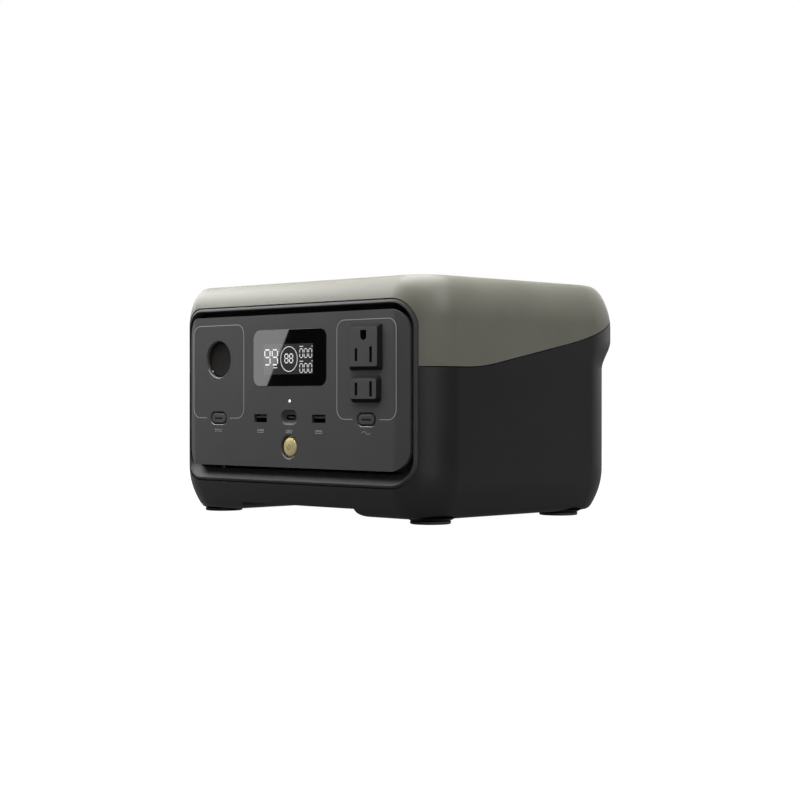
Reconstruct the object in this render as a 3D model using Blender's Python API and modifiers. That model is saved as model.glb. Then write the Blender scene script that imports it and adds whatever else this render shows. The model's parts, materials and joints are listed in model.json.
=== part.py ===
"""A portable power station, built as it comes apart on a bench.

Metres, +Z up. X runs along the width, and the front panel faces -Y. The origin is on the surface that the
feet stand on, below the middle of the body.
"""

import math

import bmesh
import bpy
from mathutils import Matrix, Vector

# ---------------------------------------------------------------- driving dimensions
WIDTH = 0.240
DEPTH = 0.214
HEIGHT = 0.1513
SOCKET_PROUD = 0.0024
WALL = 0.0025
GAP = 0.0003
OVERSHOOT = 0.020

# Housing: plan outline and the elliptical roundings of its upper and lower edges
FRONT_Y = -DEPTH / 2 + SOCKET_PROUD
REAR_Y = FRONT_Y + 0.1892
HANDLE_Y = DEPTH / 2
FRONT_CORNER = 0.030
REAR_CORNER = 0.0328
HANDLE_CORNER = REAR_CORNER + 0.0200
REAR_LEAN = 0.0030
LEAN_STARTS_Z = 0.122
BASE_Z = 0.0032
LOWER_EDGE = {"rise": 0.028, "inset": 0.0090, "curve": 2.1, "round": 0.0028}
UPPER_EDGE = {"rise": 0.027, "inset": 0.013}
HANDLE_STARTS_Z = 0.0955
HANDLE_FULL_Z = 0.115
CORNER_STEPS = 7
EDGE_STEPS = 6

# Finger slot behind the rear edge, and the scoop below the grip
SLOT = {"half_x": 0.058, "y": 0.0753, "half_y": 0.0127}
SCOOP = {"radius": 0.024, "y": 0.0840, "z": 0.0900, "half_x": 0.040}

# Raised channel along the underside, between the feet
CHANNEL = {"half_top": 0.053, "half_bottom": 0.062, "high": 0.0048}
CHANNEL_STEPS = 4

# Seam between the two shells, in side view: flat at the front, then rising to the rear
SEAM_Z = 0.0957
SEAM_FLAT_Y = FRONT_Y + 0.036
SEAM_BEND = 0.028
SEAM_SLOPE = 0.19
SEAM_REAR_CURVE = 2.2
SEAM_CURVE_ENDS_Y = 0.088
SEAM_GAP = 0.0006
SEAM_STEPS = 14

# Front opening, seen from the front: half width, lower and upper edge, corner radius
OPENING = {"half_x": 0.1084, "low": 0.0215, "high": 0.1370, "radius": 0.018}
LIP = {"half_x": 0.1056, "low": 0.0240, "high": 0.1341, "radius": 0.0155}
FUNNEL = {"half_x": 0.1053, "low": 0.0303, "high": 0.1334, "radius": 0.0150}
PANEL = {"half_x": 0.1034, "low": 0.0323, "high": 0.1302, "radius": 0.0130}
FUNNEL_DEPTH = 0.0065
BEZEL_DEPTH = 0.0090
VENT_DEPTH = 0.0104
VENT_THICK = 0.0020
VENT_SLOT_Z = 0.0310
VENT_SLOT_HALF_Z = 0.0024
LOOP_STEPS = 6

# Front panel section and the features on it
PANEL_THICK = 0.0024
PANEL_FLAT_X = 0.0930
PANEL_BEND_RADIUS = 0.0080
PANEL_BEND_DEG = 25
SIDE_FEATURE_X = 0.0700
WINDOW = {"half_x": 0.0347, "low": 0.0843, "high": 0.1205, "radius": 0.0058, "thick": 0.0015}
CAR_SOCKET_Z = 0.1022
CAR_HOLE_RADIUS = 0.0119
CAR_BORE_RADIUS = 0.0106
CAR_SOCKET_LONG = 0.0390
CAR_PLUG = {"recess": 0.0022, "disc_radius": 0.0115, "skirt_radius": 0.0101, "deep": 0.0120}
GROUNDED = {"z": 0.1078, "half_x": 0.0141, "half_z": 0.0141, "corner": 0.0012}
TWO_PIN = {"z": 0.0821, "half_x": 0.0132, "half_z": 0.0082, "corner": 0.0028}
SOCKET_CHAMFER = 0.0022
SOCKET_DEEP = 0.0280
BLADE_SPACING = 0.0127
BLADE_WIDTH = 0.0022
GROUNDED_BLADE_Z = 0.1031
GROUND_HOLE_Z = GROUNDED_BLADE_Z + 0.0119
USB_A = {"x": 0.0276, "z": 0.0636, "half_x": 0.00625, "half_z": 0.0026, "deep": 0.0125}
USB_C = {"z": 0.0643, "pocket_half_x": 0.0072, "pocket_half_z": 0.0041, "pocket_deep": 0.0014,
         "half_x": 0.0046, "half_z": 0.0017, "deep": 0.0090}
SIDE_BUTTON = {"z": 0.0634, "half_x": 0.0070, "half_z": 0.00315}
POWER_BUTTON = {"z": 0.0455, "radius": 0.0065}
BUTTON_CLEARANCE = 0.0003
BUTTON_RECESS = 0.0002
BUTTON_TRAVEL = 0.0008
BUTTON_FLANGE = 0.0010
STATUS_LIGHT = {"z": 0.0748, "radius": 0.00125}

# Boards, battery and cooling inside
BOARD_THICK = 0.0016
FRONT_BOARD_Y = -0.0905
CELL_RADIUS = 0.0131
CELL_PITCH = 0.0270
CELLS_PER_ROW = 4
CELL_LONG = 0.0700
BATTERY = {"x": -0.0330, "y": -0.0010, "z": 0.0165}
FAN = {"x": 0.0560, "z": 0.0400, "half": 0.0250, "front": 0.0610, "deep": 0.0150, "bore": 0.0235}
FAN_BLADES = 7
INVERTER = {"x": 0.0580, "half_x": 0.0300, "y": -0.0080, "half_y": 0.0420, "z": 0.0140}
INPUT_PANEL = {"x": -0.0360, "half_x": 0.0440, "low": 0.0200, "high": 0.0540, "radius": 0.0060}
AC_INLET = {"x": -0.0530, "z": 0.0370}
DC_INLET = {"x": -0.0120, "z": 0.0370}

# Feet and case screws share these places
FOOT_RADIUS = 0.0125
FOOT_PLACES = {
    "front_left": (-0.0977, FRONT_Y + 0.0279),
    "front_right": (0.0977, FRONT_Y + 0.0279),
    "rear_left": (-0.0977, FRONT_Y + 0.1500),
    "rear_right": (0.0977, FRONT_Y + 0.1500),
}
FOOT_HIGH = 0.0022
PAD_RADIUS = 0.0150
COLUMN_RADIUS = 0.0050
COLUMN_FOOT_Z = 0.0200
SCREW = {"radius": 0.0018, "head_radius": 0.0038, "head": 0.0024, "seat": 0.0062, "tip": 0.0380}
SCREW_CLEARANCE = 0.0004

COLOURS = {
    "top_grey": ((0.27, 0.27, 0.235), 0.5, 0.0),
    "shell_black": ((0.022, 0.022, 0.023), 0.5, 0.0),
    "bezel_grey": ((0.045, 0.045, 0.044), 0.45, 0.0),
    "panel_grey": ((0.075, 0.075, 0.077), 0.5, 0.0),
    "socket_grey": ((0.065, 0.065, 0.066), 0.45, 0.0),
    "window_glass": ((0.005, 0.005, 0.006), 0.05, 0.0),
    "inner_black": ((0.012, 0.012, 0.013), 0.6, 0.0),
    "brass": ((0.72, 0.55, 0.25), 0.3, 1.0),
    "steel": ((0.55, 0.54, 0.52), 0.3, 1.0),
    "status_white": ((0.9, 0.9, 0.9), 0.4, 0.0),
    "rubber": ((0.015, 0.015, 0.015), 0.85, 0.0),
    "plug_rubber": ((0.026, 0.022, 0.019), 0.7, 0.0),
    "board_green": ((0.03, 0.16, 0.08), 0.5, 0.0),
    "cell_blue": ((0.04, 0.14, 0.34), 0.4, 0.0),
    "aluminium": ((0.6, 0.6, 0.61), 0.4, 1.0),
    "cable_red": ((0.5, 0.03, 0.03), 0.5, 0.0),
}


# ---------------------------------------------------------------- helpers
def start_clean():
    for old in list(bpy.data.objects):
        bpy.data.objects.remove(old)
    found = bpy.data.collections.new("power_station")
    bpy.context.scene.collection.children.link(found)
    return found


PARTS = start_clean()
MATERIALS = {}


def material(name):
    if name not in MATERIALS:
        colour, roughness, metallic = COLOURS[name]
        made = bpy.data.materials.new(name)
        made.use_nodes = True
        shader = made.node_tree.nodes["Principled BSDF"]
        shader.inputs["Base Color"].default_value = (*colour, 1)
        shader.inputs["Roughness"].default_value = roughness
        shader.inputs["Metallic"].default_value = metallic
        MATERIALS[name] = made
    return MATERIALS[name]


def closed(mesh, outwards=True):
    """Welds the mesh's doubled points and, unless it has an inner wall already, turns its faces outwards."""
    work = bmesh.new()
    work.from_mesh(mesh)
    bmesh.ops.remove_doubles(work, verts=work.verts, dist=1e-6)
    if outwards:
        bmesh.ops.recalc_face_normals(work, faces=work.faces)
    work.to_mesh(mesh)
    work.free()
    return mesh


def part_of(mesh, name, look=None):
    """An object in the scene with that mesh. A helper has no look, and is used up by a cut or a join."""
    obj = bpy.data.objects.new(name, mesh)
    PARTS.objects.link(obj)
    if look:
        mesh.materials.clear()
        mesh.materials.append(material(look))
    return obj


def frozen(obj, look=None, outwards=True):
    """The object remade as a plain mesh, with its modifiers and its place worked in."""
    bpy.context.view_layer.update()
    graph = bpy.context.evaluated_depsgraph_get()
    mesh = bpy.data.meshes.new_from_object(obj.evaluated_get(graph))
    mesh.transform(obj.matrix_world)
    name = obj.name
    bpy.data.objects.remove(obj)
    return part_of(closed(mesh, outwards), name, look)


def from_bmesh(work, name, look=None):
    mesh = bpy.data.meshes.new(name)
    work.to_mesh(mesh)
    work.free()
    return part_of(closed(mesh), name, look)


def combined(obj, other, operation):
    look = obj.data.materials[0].name if obj.data.materials else None
    change = obj.modifiers.new(operation.lower(), "BOOLEAN")
    change.operation = operation
    change.solver = "EXACT"
    change.object = other
    made = frozen(obj, look, outwards=False)
    bpy.data.objects.remove(other)
    return made


def cut(obj, *cutters):
    for cutter in cutters:
        obj = combined(obj, cutter, "DIFFERENCE")
    return obj


def joined(obj, *others):
    for other in others:
        obj = combined(obj, other, "UNION")
    return obj


def box(name, low, high, look=None):
    size = Vector(high) - Vector(low)
    middle = (Vector(high) + Vector(low)) / 2
    work = bmesh.new()
    place = Matrix.Translation(middle) @ Matrix.Diagonal((*size, 1))
    bmesh.ops.create_cube(work, size=1, matrix=place)
    return from_bmesh(work, name, look)


AXES = {
    "X": Matrix(((0, 0, 1), (1, 0, 0), (0, 1, 0))).to_4x4(),
    "Y": Matrix(((1, 0, 0), (0, 0, -1), (0, 1, 0))).to_4x4(),
    "Z": Matrix.Identity(4),
}


def rod(name, start, end, axis, radius, look=None, end_radius=None, sides=24):
    """A round bar along a row axis. start is its centre at one end, and end the coordinate of the other."""
    index = "XYZ".index(axis)
    low = Vector(start)
    long = end - low[index]
    middle = low.copy()
    middle[index] += long / 2
    turn = AXES[axis]
    if (turn @ Vector((0, 0, 1)))[index] * long < 0:
        turn = turn @ Matrix.Rotation(math.pi, 4, "X")
    work = bmesh.new()
    bmesh.ops.create_cone(
        work, cap_ends=True, segments=sides, radius1=radius, radius2=end_radius or radius,
        depth=abs(long), matrix=Matrix.Translation(middle) @ turn,
    )
    return from_bmesh(work, name, look)


def prism(name, outline, axis, low, high, look=None):
    """A flat outline drawn across an axis, and filled from low to high along it.

    Its two coordinates are Y and Z across X, X and Z across Y, and X and Y across Z.
    """
    data = bpy.data.curves.new(name, "CURVE")
    data.dimensions = "2D"
    data.fill_mode = "BOTH"
    data.extrude = (high - low) / 2
    spline = data.splines.new("POLY")
    spline.points.add(len(outline) - 1)
    for point, (u, v) in zip(spline.points, outline):
        point.co = (u, v, 0, 1)
    spline.use_cyclic_u = True
    obj = part_of(data, name)
    middle = Vector((0, 0, 0))
    middle["XYZ".index(axis)] = (low + high) / 2
    obj.matrix_world = Matrix.Translation(middle) @ AXES[axis]
    return frozen(obj, look)


def turned(name, profile, place, look=None, steps=24, loop=False):
    """A profile of (radius, height) points turned about the local Z axis of place."""
    mesh = bpy.data.meshes.new(name)
    edges = [(i, i + 1) for i in range(len(profile) - 1)]
    if loop:
        edges.append((len(profile) - 1, 0))
    mesh.from_pydata([(r, 0, z) for r, z in profile], edges, [])
    obj = part_of(mesh, name)
    obj.matrix_world = place
    screw = obj.modifiers.new("turn", "SCREW")
    screw.steps = screw.render_steps = steps
    screw.use_merge_vertices = True
    screw.merge_threshold = 1e-5
    return frozen(obj, look)


def loft(name, rings, look=None, ends=True):
    """Sections with the same number of points, bridged in turn. Without ends, the last one meets the first."""
    work = bmesh.new()
    rows = [[work.verts.new(point) for point in ring] for ring in rings]
    pairs = list(zip(rows, rows[1:]))
    if not ends:
        pairs.append((rows[-1], rows[0]))
    for lower, upper in pairs:
        for i in range(len(lower)):
            j = (i + 1) % len(lower)
            work.faces.new((lower[i], lower[j], upper[j], upper[i]))
    if ends:
        work.faces.new(rows[0])
        work.faces.new(rows[-1])
    return from_bmesh(work, name, look)


def rounded(half_u, low, high, radius, steps=LOOP_STEPS, centre_u=0.0):
    """A rounded rectangle, anticlockwise from its lower right corner."""
    points = []
    corners = ((1, low + radius, -90), (1, high - radius, 0), (-1, high - radius, 90), (-1, low + radius, 180))
    for side, v, first in corners:
        for i in range(steps + 1):
            angle = math.radians(first + 90 * i / steps)
            u = centre_u + side * (half_u - radius)
            points.append((u + radius * math.cos(angle), v + radius * math.sin(angle)))
    return points


def stadium(half_u, half_v, centre_u, centre_v, steps=LOOP_STEPS):
    return rounded(half_u, centre_v - half_v, centre_v + half_v, half_v * 0.999, steps, centre_u)


def circle(radius, centre_u, centre_v, sides=24):
    angles = [math.tau * i / sides for i in range(sides)]
    return [(centre_u + radius * math.cos(a), centre_v + radius * math.sin(a)) for a in angles]


def smooth(t):
    t = min(max(t, 0.0), 1.0)
    return t * t * (3 - 2 * t)


# ---------------------------------------------------------------- housing form
def quarter_inset(radius, up):
    """How far a quarter round of this radius is drawn in, so far up from its foot."""
    share = max(1 - up / radius, 0.0)
    return radius * (1 - math.sqrt(1 - share * share))


def edge_inset(z):
    """How far the outer wall is drawn in at this height by the rounded upper and lower edges."""
    up = max(z - BASE_Z, 0.0)
    if up < LOWER_EDGE["rise"]:
        drawn_in = LOWER_EDGE["inset"] * (1 - up / LOWER_EDGE["rise"]) ** LOWER_EDGE["curve"]
        return drawn_in + quarter_inset(LOWER_EDGE["round"], up)
    share = max((z - HEIGHT + UPPER_EDGE["rise"]) / UPPER_EDGE["rise"], 0.0)
    return UPPER_EDGE["inset"] * (1 - math.sqrt(max(1 - share * share, 0.0)))


def front_surface(x, z):
    """Y of the housing's front at this place, as it curves back at the corners."""
    inset = edge_inset(z)
    radius = FRONT_CORNER - inset
    over = min(max(abs(x) - (WIDTH / 2 - FRONT_CORNER), 0.0), radius)
    return FRONT_Y + inset + radius - math.sqrt(radius * radius - over * over)


def plan_ring(z, inset):
    """The housing's plan outline at this height, drawn in by inset, as points in space."""
    grown = smooth((z - HANDLE_STARTS_Z) / (HANDLE_FULL_Z - HANDLE_STARTS_Z))
    lean = REAR_LEAN * smooth((z - LEAN_STARTS_Z) / (HEIGHT - LEAN_STARTS_Z))
    rear = REAR_Y + grown * (HANDLE_Y - REAR_Y) - lean - inset
    rear_radius = REAR_CORNER + grown * (HANDLE_CORNER - REAR_CORNER) - inset
    radius = FRONT_CORNER - inset
    half = WIDTH / 2 - inset
    front = FRONT_Y + inset
    ring = []
    corners = ((1, front + radius, radius, -90), (1, rear - rear_radius, rear_radius, 0),
               (-1, rear - rear_radius, rear_radius, 90), (-1, front + radius, radius, 180))
    for side, y, r, first in corners:
        for i in range(CORNER_STEPS + 1):
            angle = math.radians(first + 90 * i / CORNER_STEPS)
            ring.append((side * (half - r) + r * math.cos(angle), y + r * math.sin(angle), z))
    return ring


def housing_form(name, offset):
    """The whole housing as one closed form, drawn in by offset all over."""
    rings = []
    for share in (0.0, 0.02, 0.08, 0.2, 0.35, 0.5, 0.7, 1.0):
        z = BASE_Z + offset + (LOWER_EDGE["rise"] - offset) * share
        rings.append(plan_ring(z, offset + edge_inset(BASE_Z + LOWER_EDGE["rise"] * share)))
    rise = HANDLE_FULL_Z - HANDLE_STARTS_Z
    rings += [plan_ring(HANDLE_STARTS_Z + rise * i / EDGE_STEPS, offset) for i in range(EDGE_STEPS + 1)]
    for i in range(EDGE_STEPS + 1):
        angle = math.radians(90 * i / EDGE_STEPS)
        z = HEIGHT - UPPER_EDGE["rise"] + (UPPER_EDGE["rise"] - offset) * math.sin(angle)
        rings.append(plan_ring(z, offset + (UPPER_EDGE["inset"] - offset) * (1 - math.cos(angle))))
    return loft(name, rings)


def handle_space(name, extra):
    """The finger slot from above and the scoop below the grip, both grown by extra."""
    y, half_y = SLOT["y"], SLOT["half_y"] + extra
    half_x = SLOT["half_x"] + extra
    slot = prism(name, rounded(half_x, y - half_y, y + half_y, half_y * 0.999), "Z",
                 SCOOP["z"], HEIGHT + OVERSHOOT)
    ball = bmesh.new()
    bmesh.ops.create_uvsphere(ball, u_segments=20, v_segments=11, radius=SCOOP["radius"] + extra,
                              matrix=Matrix.Rotation(math.radians(90), 4, "Y"))
    for vert in ball.verts:
        vert.co.x += math.copysign(SCOOP["half_x"], vert.co.x)
    bmesh.ops.translate(ball, verts=ball.verts, vec=(0, SCOOP["y"], SCOOP["z"]))
    return joined(slot, from_bmesh(ball, "scoop"))


def channel_space(name, extra):
    """The channel's ends round over into the skids on which the feet sit."""
    top, bottom, high = CHANNEL["half_top"] + extra, CHANNEL["half_bottom"] + extra, CHANNEL["high"]
    side = []
    for i in range(CHANNEL_STEPS + 1):
        angle = math.radians(90 * i / CHANNEL_STEPS)
        side.append((bottom - (bottom - top) * math.cos(angle), BASE_Z + extra + high * (1 - math.sin(angle))))
    side.append((bottom + OVERSHOOT, BASE_Z - OVERSHOOT))
    outline = [(-x, z) for x, z in reversed(side)] + side
    return prism(name, outline, "Y", FRONT_Y - OVERSHOOT, REAR_Y + OVERSHOOT)


def housing_shell():
    solid = cut(housing_form("shell", 0.0), handle_space("space", 0.0), channel_space("channel", 0.0))
    inside = cut(housing_form("inside", WALL), handle_space("space", WALL), channel_space("channel", WALL))
    return cut(solid, inside)


def seam_height(y):
    """Height of the seam in side view: flat, then a bend, then a rise that steepens to the rear."""
    past = y - SEAM_FLAT_Y
    if past <= 0:
        return SEAM_Z
    if past < SEAM_BEND:
        return SEAM_Z + SEAM_SLOPE * past * past / (2 * SEAM_BEND)
    straight = SEAM_Z + SEAM_SLOPE * (past - SEAM_BEND / 2)
    return straight + SEAM_REAR_CURVE * max(min(y, SEAM_CURVE_ENDS_Y) - 0.030, 0.0) ** 2


def above_seam(name, drop):
    """Everything above the seam, let down by drop."""
    front, rear = FRONT_Y - OVERSHOOT, HANDLE_Y + OVERSHOOT
    ys = [front] + [SEAM_FLAT_Y + (rear - SEAM_FLAT_Y) * i / SEAM_STEPS for i in range(SEAM_STEPS + 1)]
    outline = [(y, seam_height(y) - drop) for y in ys]
    outline += [(rear, HEIGHT + OVERSHOOT), (front, HEIGHT + OVERSHOOT)]
    return prism(name, outline, "X", -WIDTH, WIDTH)


def front_opening(name):
    return prism(name, rounded(**opening_args(OPENING)), "Y", FRONT_Y - OVERSHOOT, FRONT_Y + 0.0155)


def opening_args(size):
    return {"half_u": size["half_x"], "low": size["low"], "high": size["high"], "radius": size["radius"]}


def top_cover():
    cover = combined(housing_shell(), above_seam("above", 0.0), "INTERSECT")
    cover = cut(cover, front_opening("opening"))
    for x, y in FOOT_PLACES.values():
        column = rod("column", (x, y, COLUMN_FOOT_Z + GAP), HEIGHT - WALL / 2, "Z", COLUMN_RADIUS, sides=16)
        bore = rod("bore", (x, y, 0.0), SCREW["tip"] + 0.002, "Z", SCREW["radius"] + SCREW_CLEARANCE, sides=12)
        cover = cut(joined(cover, column), bore)
    cover.name = "top_cover"
    cover.data.materials.append(material("top_grey"))


def lower_housing():
    tub = cut(housing_shell(), above_seam("above", SEAM_GAP), front_opening("opening"))
    for x, y in FOOT_PLACES.values():
        pad = rod("pad", (x, y, FOOT_HIGH), BASE_Z + GAP, "Z", FOOT_RADIUS, end_radius=PAD_RADIUS)
        boss = rod("boss", (x, y, BASE_Z), COLUMN_FOOT_Z, "Z", COLUMN_RADIUS, sides=16)
        bore = rod("bore", (x, y, 0.0), COLUMN_FOOT_Z + 0.001, "Z", SCREW["radius"] + SCREW_CLEARANCE, sides=12)
        seat = rod("seat", (x, y, 0.0), SCREW["seat"], "Z", SCREW["head_radius"] + SCREW_CLEARANCE, sides=16)
        tub = cut(joined(tub, pad, boss), bore, seat)
    panel = rounded(INPUT_PANEL["half_x"] + GAP, INPUT_PANEL["low"] - GAP, INPUT_PANEL["high"] + GAP,
                    INPUT_PANEL["radius"], centre_u=INPUT_PANEL["x"])
    tub = cut(tub, prism("input_opening", panel, "Y", REAR_Y - 0.010, REAR_Y + OVERSHOOT))
    for i in range(7):
        x = FAN["x"] + (i - 3) * 0.0065
        slit = stadium_upright(0.0015, 0.019, x, FAN["z"])
        tub = cut(tub, prism("slit", slit, "Y", REAR_Y - 0.010, REAR_Y + OVERSHOOT))
    tub.name = "lower_housing"
    tub.data.materials.append(material("shell_black"))


def stadium_upright(half_u, half_v, centre_u, centre_v, steps=4):
    return rounded(half_u, centre_v - half_v, centre_v + half_v, half_u * 0.999, steps, centre_u)


# ---------------------------------------------------------------- front frame and panel
def front_loop(size, depth, shrink=0.0):
    """A rounded rectangle laid on the housing's front surface, then moved back by depth."""
    outline = rounded(size["half_x"] - shrink, size["low"] + shrink, size["high"] - shrink,
                      size["radius"] - shrink)
    return [(x, front_surface(x, z) + depth, z) for x, z in outline]


def front_bezel():
    rings = [front_loop(OPENING, 0.0, GAP), front_loop(LIP, 0.0), front_loop(FUNNEL, FUNNEL_DEPTH),
             front_loop(FUNNEL, BEZEL_DEPTH, -0.0010), front_loop(OPENING, BEZEL_DEPTH, GAP)]
    loft("front_bezel", rings, "bezel_grey", ends=False)


def vent_frame():
    """The slotted ring behind the gap round the panel, where the cooling air goes in."""
    outer = {**OPENING, "half_x": OPENING["half_x"] - 0.0004}
    inner = {"half_x": 0.0960, "low": 0.0410, "high": 0.1215, "radius": 0.0080}
    back = VENT_DEPTH + VENT_THICK
    rings = [front_loop(outer, VENT_DEPTH, 0.0030), front_loop(inner, VENT_DEPTH),
             front_loop(inner, back), front_loop(outer, back, 0.0030)]
    frame = loft("vent_frame", rings, "inner_black", ends=False)
    near, far = FRONT_Y - 0.001, FRONT_Y + 0.030
    for i in range(8):
        x = (i - 3.5) * 0.0217
        low = VENT_SLOT_Z - VENT_SLOT_HALF_Z
        slot = box("slot", (x - 0.0098, near, low), (x + 0.0098, far, low + 2 * VENT_SLOT_HALF_Z))
        frame = cut(frame, slot)
    for i in range(4):
        z = 0.0812 + (i - 1.5) * 0.0200
        for side in (-1, 1):
            xs = sorted((side * 0.1010, side * 0.1052))
            frame = cut(frame, box("slot", (xs[0], near, z - 0.0090), (xs[1], far, z + 0.0090)))
    frame.name = "vent_frame"


def panel_section(back):
    """Plan outline of the panel: flat, with ends that bend back. back moves its rear face in."""
    bend = math.radians(PANEL_BEND_DEG)
    half = []
    for i in range(4):
        angle = bend * i / 3
        half.append((PANEL_FLAT_X + PANEL_BEND_RADIUS * math.sin(angle),
                     PANEL_BEND_RADIUS * (1 - math.cos(angle))))
    x, y = half[-1]
    end = PANEL["half_x"] + 0.005
    half.append((end, y + (end - x) * math.tan(bend)))
    front = [(-x, FRONT_Y + y) for x, y in reversed(half)] + [(x, FRONT_Y + y) for x, y in half]
    rear = [(x, y + back) for x, y in reversed(front)]
    return front + rear


def through_panel(name, outline):
    return prism(name, outline, "Y", FRONT_Y - OVERSHOOT, FRONT_Y + 0.010)


def front_panel():
    panel = prism("front_panel", panel_section(PANEL_THICK), "Z", 0.0, HEIGHT, "panel_grey")
    panel = combined(panel, prism("trim", rounded(**opening_args(PANEL)), "Y", -DEPTH, 0.0), "INTERSECT")
    window = rounded(WINDOW["half_x"] + GAP, WINDOW["low"] - GAP, WINDOW["high"] + GAP, WINDOW["radius"])
    holes = [window, circle(CAR_HOLE_RADIUS, -SIDE_FEATURE_X, CAR_SOCKET_Z, 28)]
    for socket in (GROUNDED, TWO_PIN):
        half_x, half_z = socket["half_x"] - 0.0012, socket["half_z"] - 0.0012
        holes.append(rounded(half_x, socket["z"] - half_z, socket["z"] + half_z, 0.001, 2, SIDE_FEATURE_X))
    for side in (-1, 1):
        holes.append(rounded(USB_A["half_x"], USB_A["z"] - USB_A["half_z"], USB_A["z"] + USB_A["half_z"],
                             0.0003, 1, side * USB_A["x"]))
        holes.append(stadium(SIDE_BUTTON["half_x"] + BUTTON_CLEARANCE, SIDE_BUTTON["half_z"] + BUTTON_CLEARANCE,
                             side * SIDE_FEATURE_X, SIDE_BUTTON["z"]))
    holes.append(stadium(USB_C["half_x"], USB_C["half_z"], 0.0, USB_C["z"]))
    holes.append(circle(POWER_BUTTON["radius"] + BUTTON_CLEARANCE, 0.0, POWER_BUTTON["z"]))
    holes.append(circle(STATUS_LIGHT["radius"] + GAP / 2, 0.0, STATUS_LIGHT["z"], 12))
    for outline in holes:
        panel = cut(panel, through_panel("hole", outline))
    pocket = stadium(USB_C["pocket_half_x"], USB_C["pocket_half_z"], 0.0, USB_C["z"])
    cut(panel, prism("pocket", pocket, "Y", FRONT_Y - OVERSHOOT, FRONT_Y + USB_C["pocket_deep"]))


def display():
    glass = rounded(WINDOW["half_x"], WINDOW["low"], WINDOW["high"], WINDOW["radius"])
    prism("display_window", glass, "Y", FRONT_Y, FRONT_Y + WINDOW["thick"], "window_glass")
    module = rounded(WINDOW["half_x"] - 0.003, WINDOW["low"] + 0.002, WINDOW["high"] - 0.002, 0.001, 2)
    prism("display_module", module, "Y", FRONT_Y + WINDOW["thick"] + GAP, FRONT_BOARD_Y - GAP, "inner_black")
    lamp = circle(STATUS_LIGHT["radius"], 0.0, STATUS_LIGHT["z"], 12)
    prism("status_light", lamp, "Y", FRONT_Y, FRONT_BOARD_Y - GAP, "status_white")


# ---------------------------------------------------------------- sockets
def mains_socket(name, socket):
    """A snap-in outlet: a chamfered face that stands proud of the panel, and a body behind it."""
    def section(y, shrink, corner):
        half_x, half_z = socket["half_x"] - shrink, socket["half_z"] - shrink
        outline = rounded(half_x, socket["z"] - half_z, socket["z"] + half_z, corner, 3, SIDE_FEATURE_X)
        return [(x, y, z) for x, z in outline]

    corner = socket["corner"]
    face, back = FRONT_Y - SOCKET_PROUD, FRONT_Y + SOCKET_DEEP
    stem = 0.0016
    rings = [section(face, SOCKET_CHAMFER, corner * 0.5), section(FRONT_Y - GAP, 0.0, corner),
             section(FRONT_Y - GAP / 2, 0.0, corner), section(FRONT_Y - GAP / 2, stem, 0.001),
             section(back, stem, 0.001)]
    return loft(name, rings, "socket_grey")


def blade_slot(x, z, high):
    deep = FRONT_Y - SOCKET_PROUD + 0.020
    return box("blade", (x - BLADE_WIDTH / 2, -DEPTH, z - high / 2), (x + BLADE_WIDTH / 2, deep, z + high / 2))


def ground_outline():
    """Flat above and round below, as a grounding pin's hole is."""
    half, low = 0.0026, GROUND_HOLE_Z - 0.0006
    arc = [math.radians(180 + 180 * i / 8) for i in range(9)]
    points = [(SIDE_FEATURE_X + half * math.cos(a), low + half * math.sin(a)) for a in arc]
    return points + [(SIDE_FEATURE_X + half, GROUND_HOLE_Z + 0.0031), (SIDE_FEATURE_X - half, GROUND_HOLE_Z + 0.0031)]


def mains_sockets():
    left, right = SIDE_FEATURE_X - BLADE_SPACING / 2, SIDE_FEATURE_X + BLADE_SPACING / 2
    grounded = mains_socket("ac_socket_grounded", GROUNDED)
    pin = prism("pin", ground_outline(), "Y", -DEPTH, FRONT_Y - SOCKET_PROUD + 0.020)
    cut(grounded, blade_slot(left, GROUNDED_BLADE_Z, 0.0079), blade_slot(right, GROUNDED_BLADE_Z, 0.0095), pin)
    two_pin = mains_socket("ac_socket_two_pin", TWO_PIN)
    cut(two_pin, blade_slot(left, TWO_PIN["z"], 0.0077), blade_slot(right, TWO_PIN["z"], 0.0092))


def car_socket():
    """A socket barrel with its centre contact, closed in front by a rubber plug that pulls out."""
    mouth = Matrix.Translation((-SIDE_FEATURE_X, FRONT_Y, CAR_SOCKET_Z)) @ Matrix.Rotation(math.radians(-90), 4, "X")
    bore, outer = CAR_BORE_RADIUS, CAR_BORE_RADIUS + 0.0010
    front = 0.0046
    barrel = [(bore, front), (outer, front), (outer, CAR_SOCKET_LONG), (bore, CAR_SOCKET_LONG)]
    turned("car_socket_barrel", barrel, mouth, "steel", 28, loop=True)
    top = CAR_SOCKET_LONG + GAP
    base = [(0.0022, top - 0.003), (0.0080, top - 0.003), (0.0080, top), (outer, top), (outer, top + 0.006),
            (0.0022, top + 0.006)]
    turned("car_socket_base", base, mouth, "inner_black", 20, loop=True)
    contact = [(0.0, top - 0.0055), (0.0030, top - 0.0045), (0.0030, top - 0.0033), (0.0019, top - 0.0033),
               (0.0019, top + 0.0075), (0.0, top + 0.0075)]
    turned("car_socket_contact", contact, mouth, "brass", 16)
    face, disc, skirt, thin = CAR_PLUG["recess"], CAR_PLUG["disc_radius"], CAR_PLUG["skirt_radius"], 0.0020
    plug = [(0.0, face), (disc - 0.0008, face), (disc, face + 0.0008), (disc, front - GAP), (skirt, front - GAP),
            (skirt, CAR_PLUG["deep"]), (skirt - thin, CAR_PLUG["deep"]), (skirt - thin, front), (0.0, front)]
    turned("car_socket_plug", plug, mouth, "plug_rubber", 28)


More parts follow.
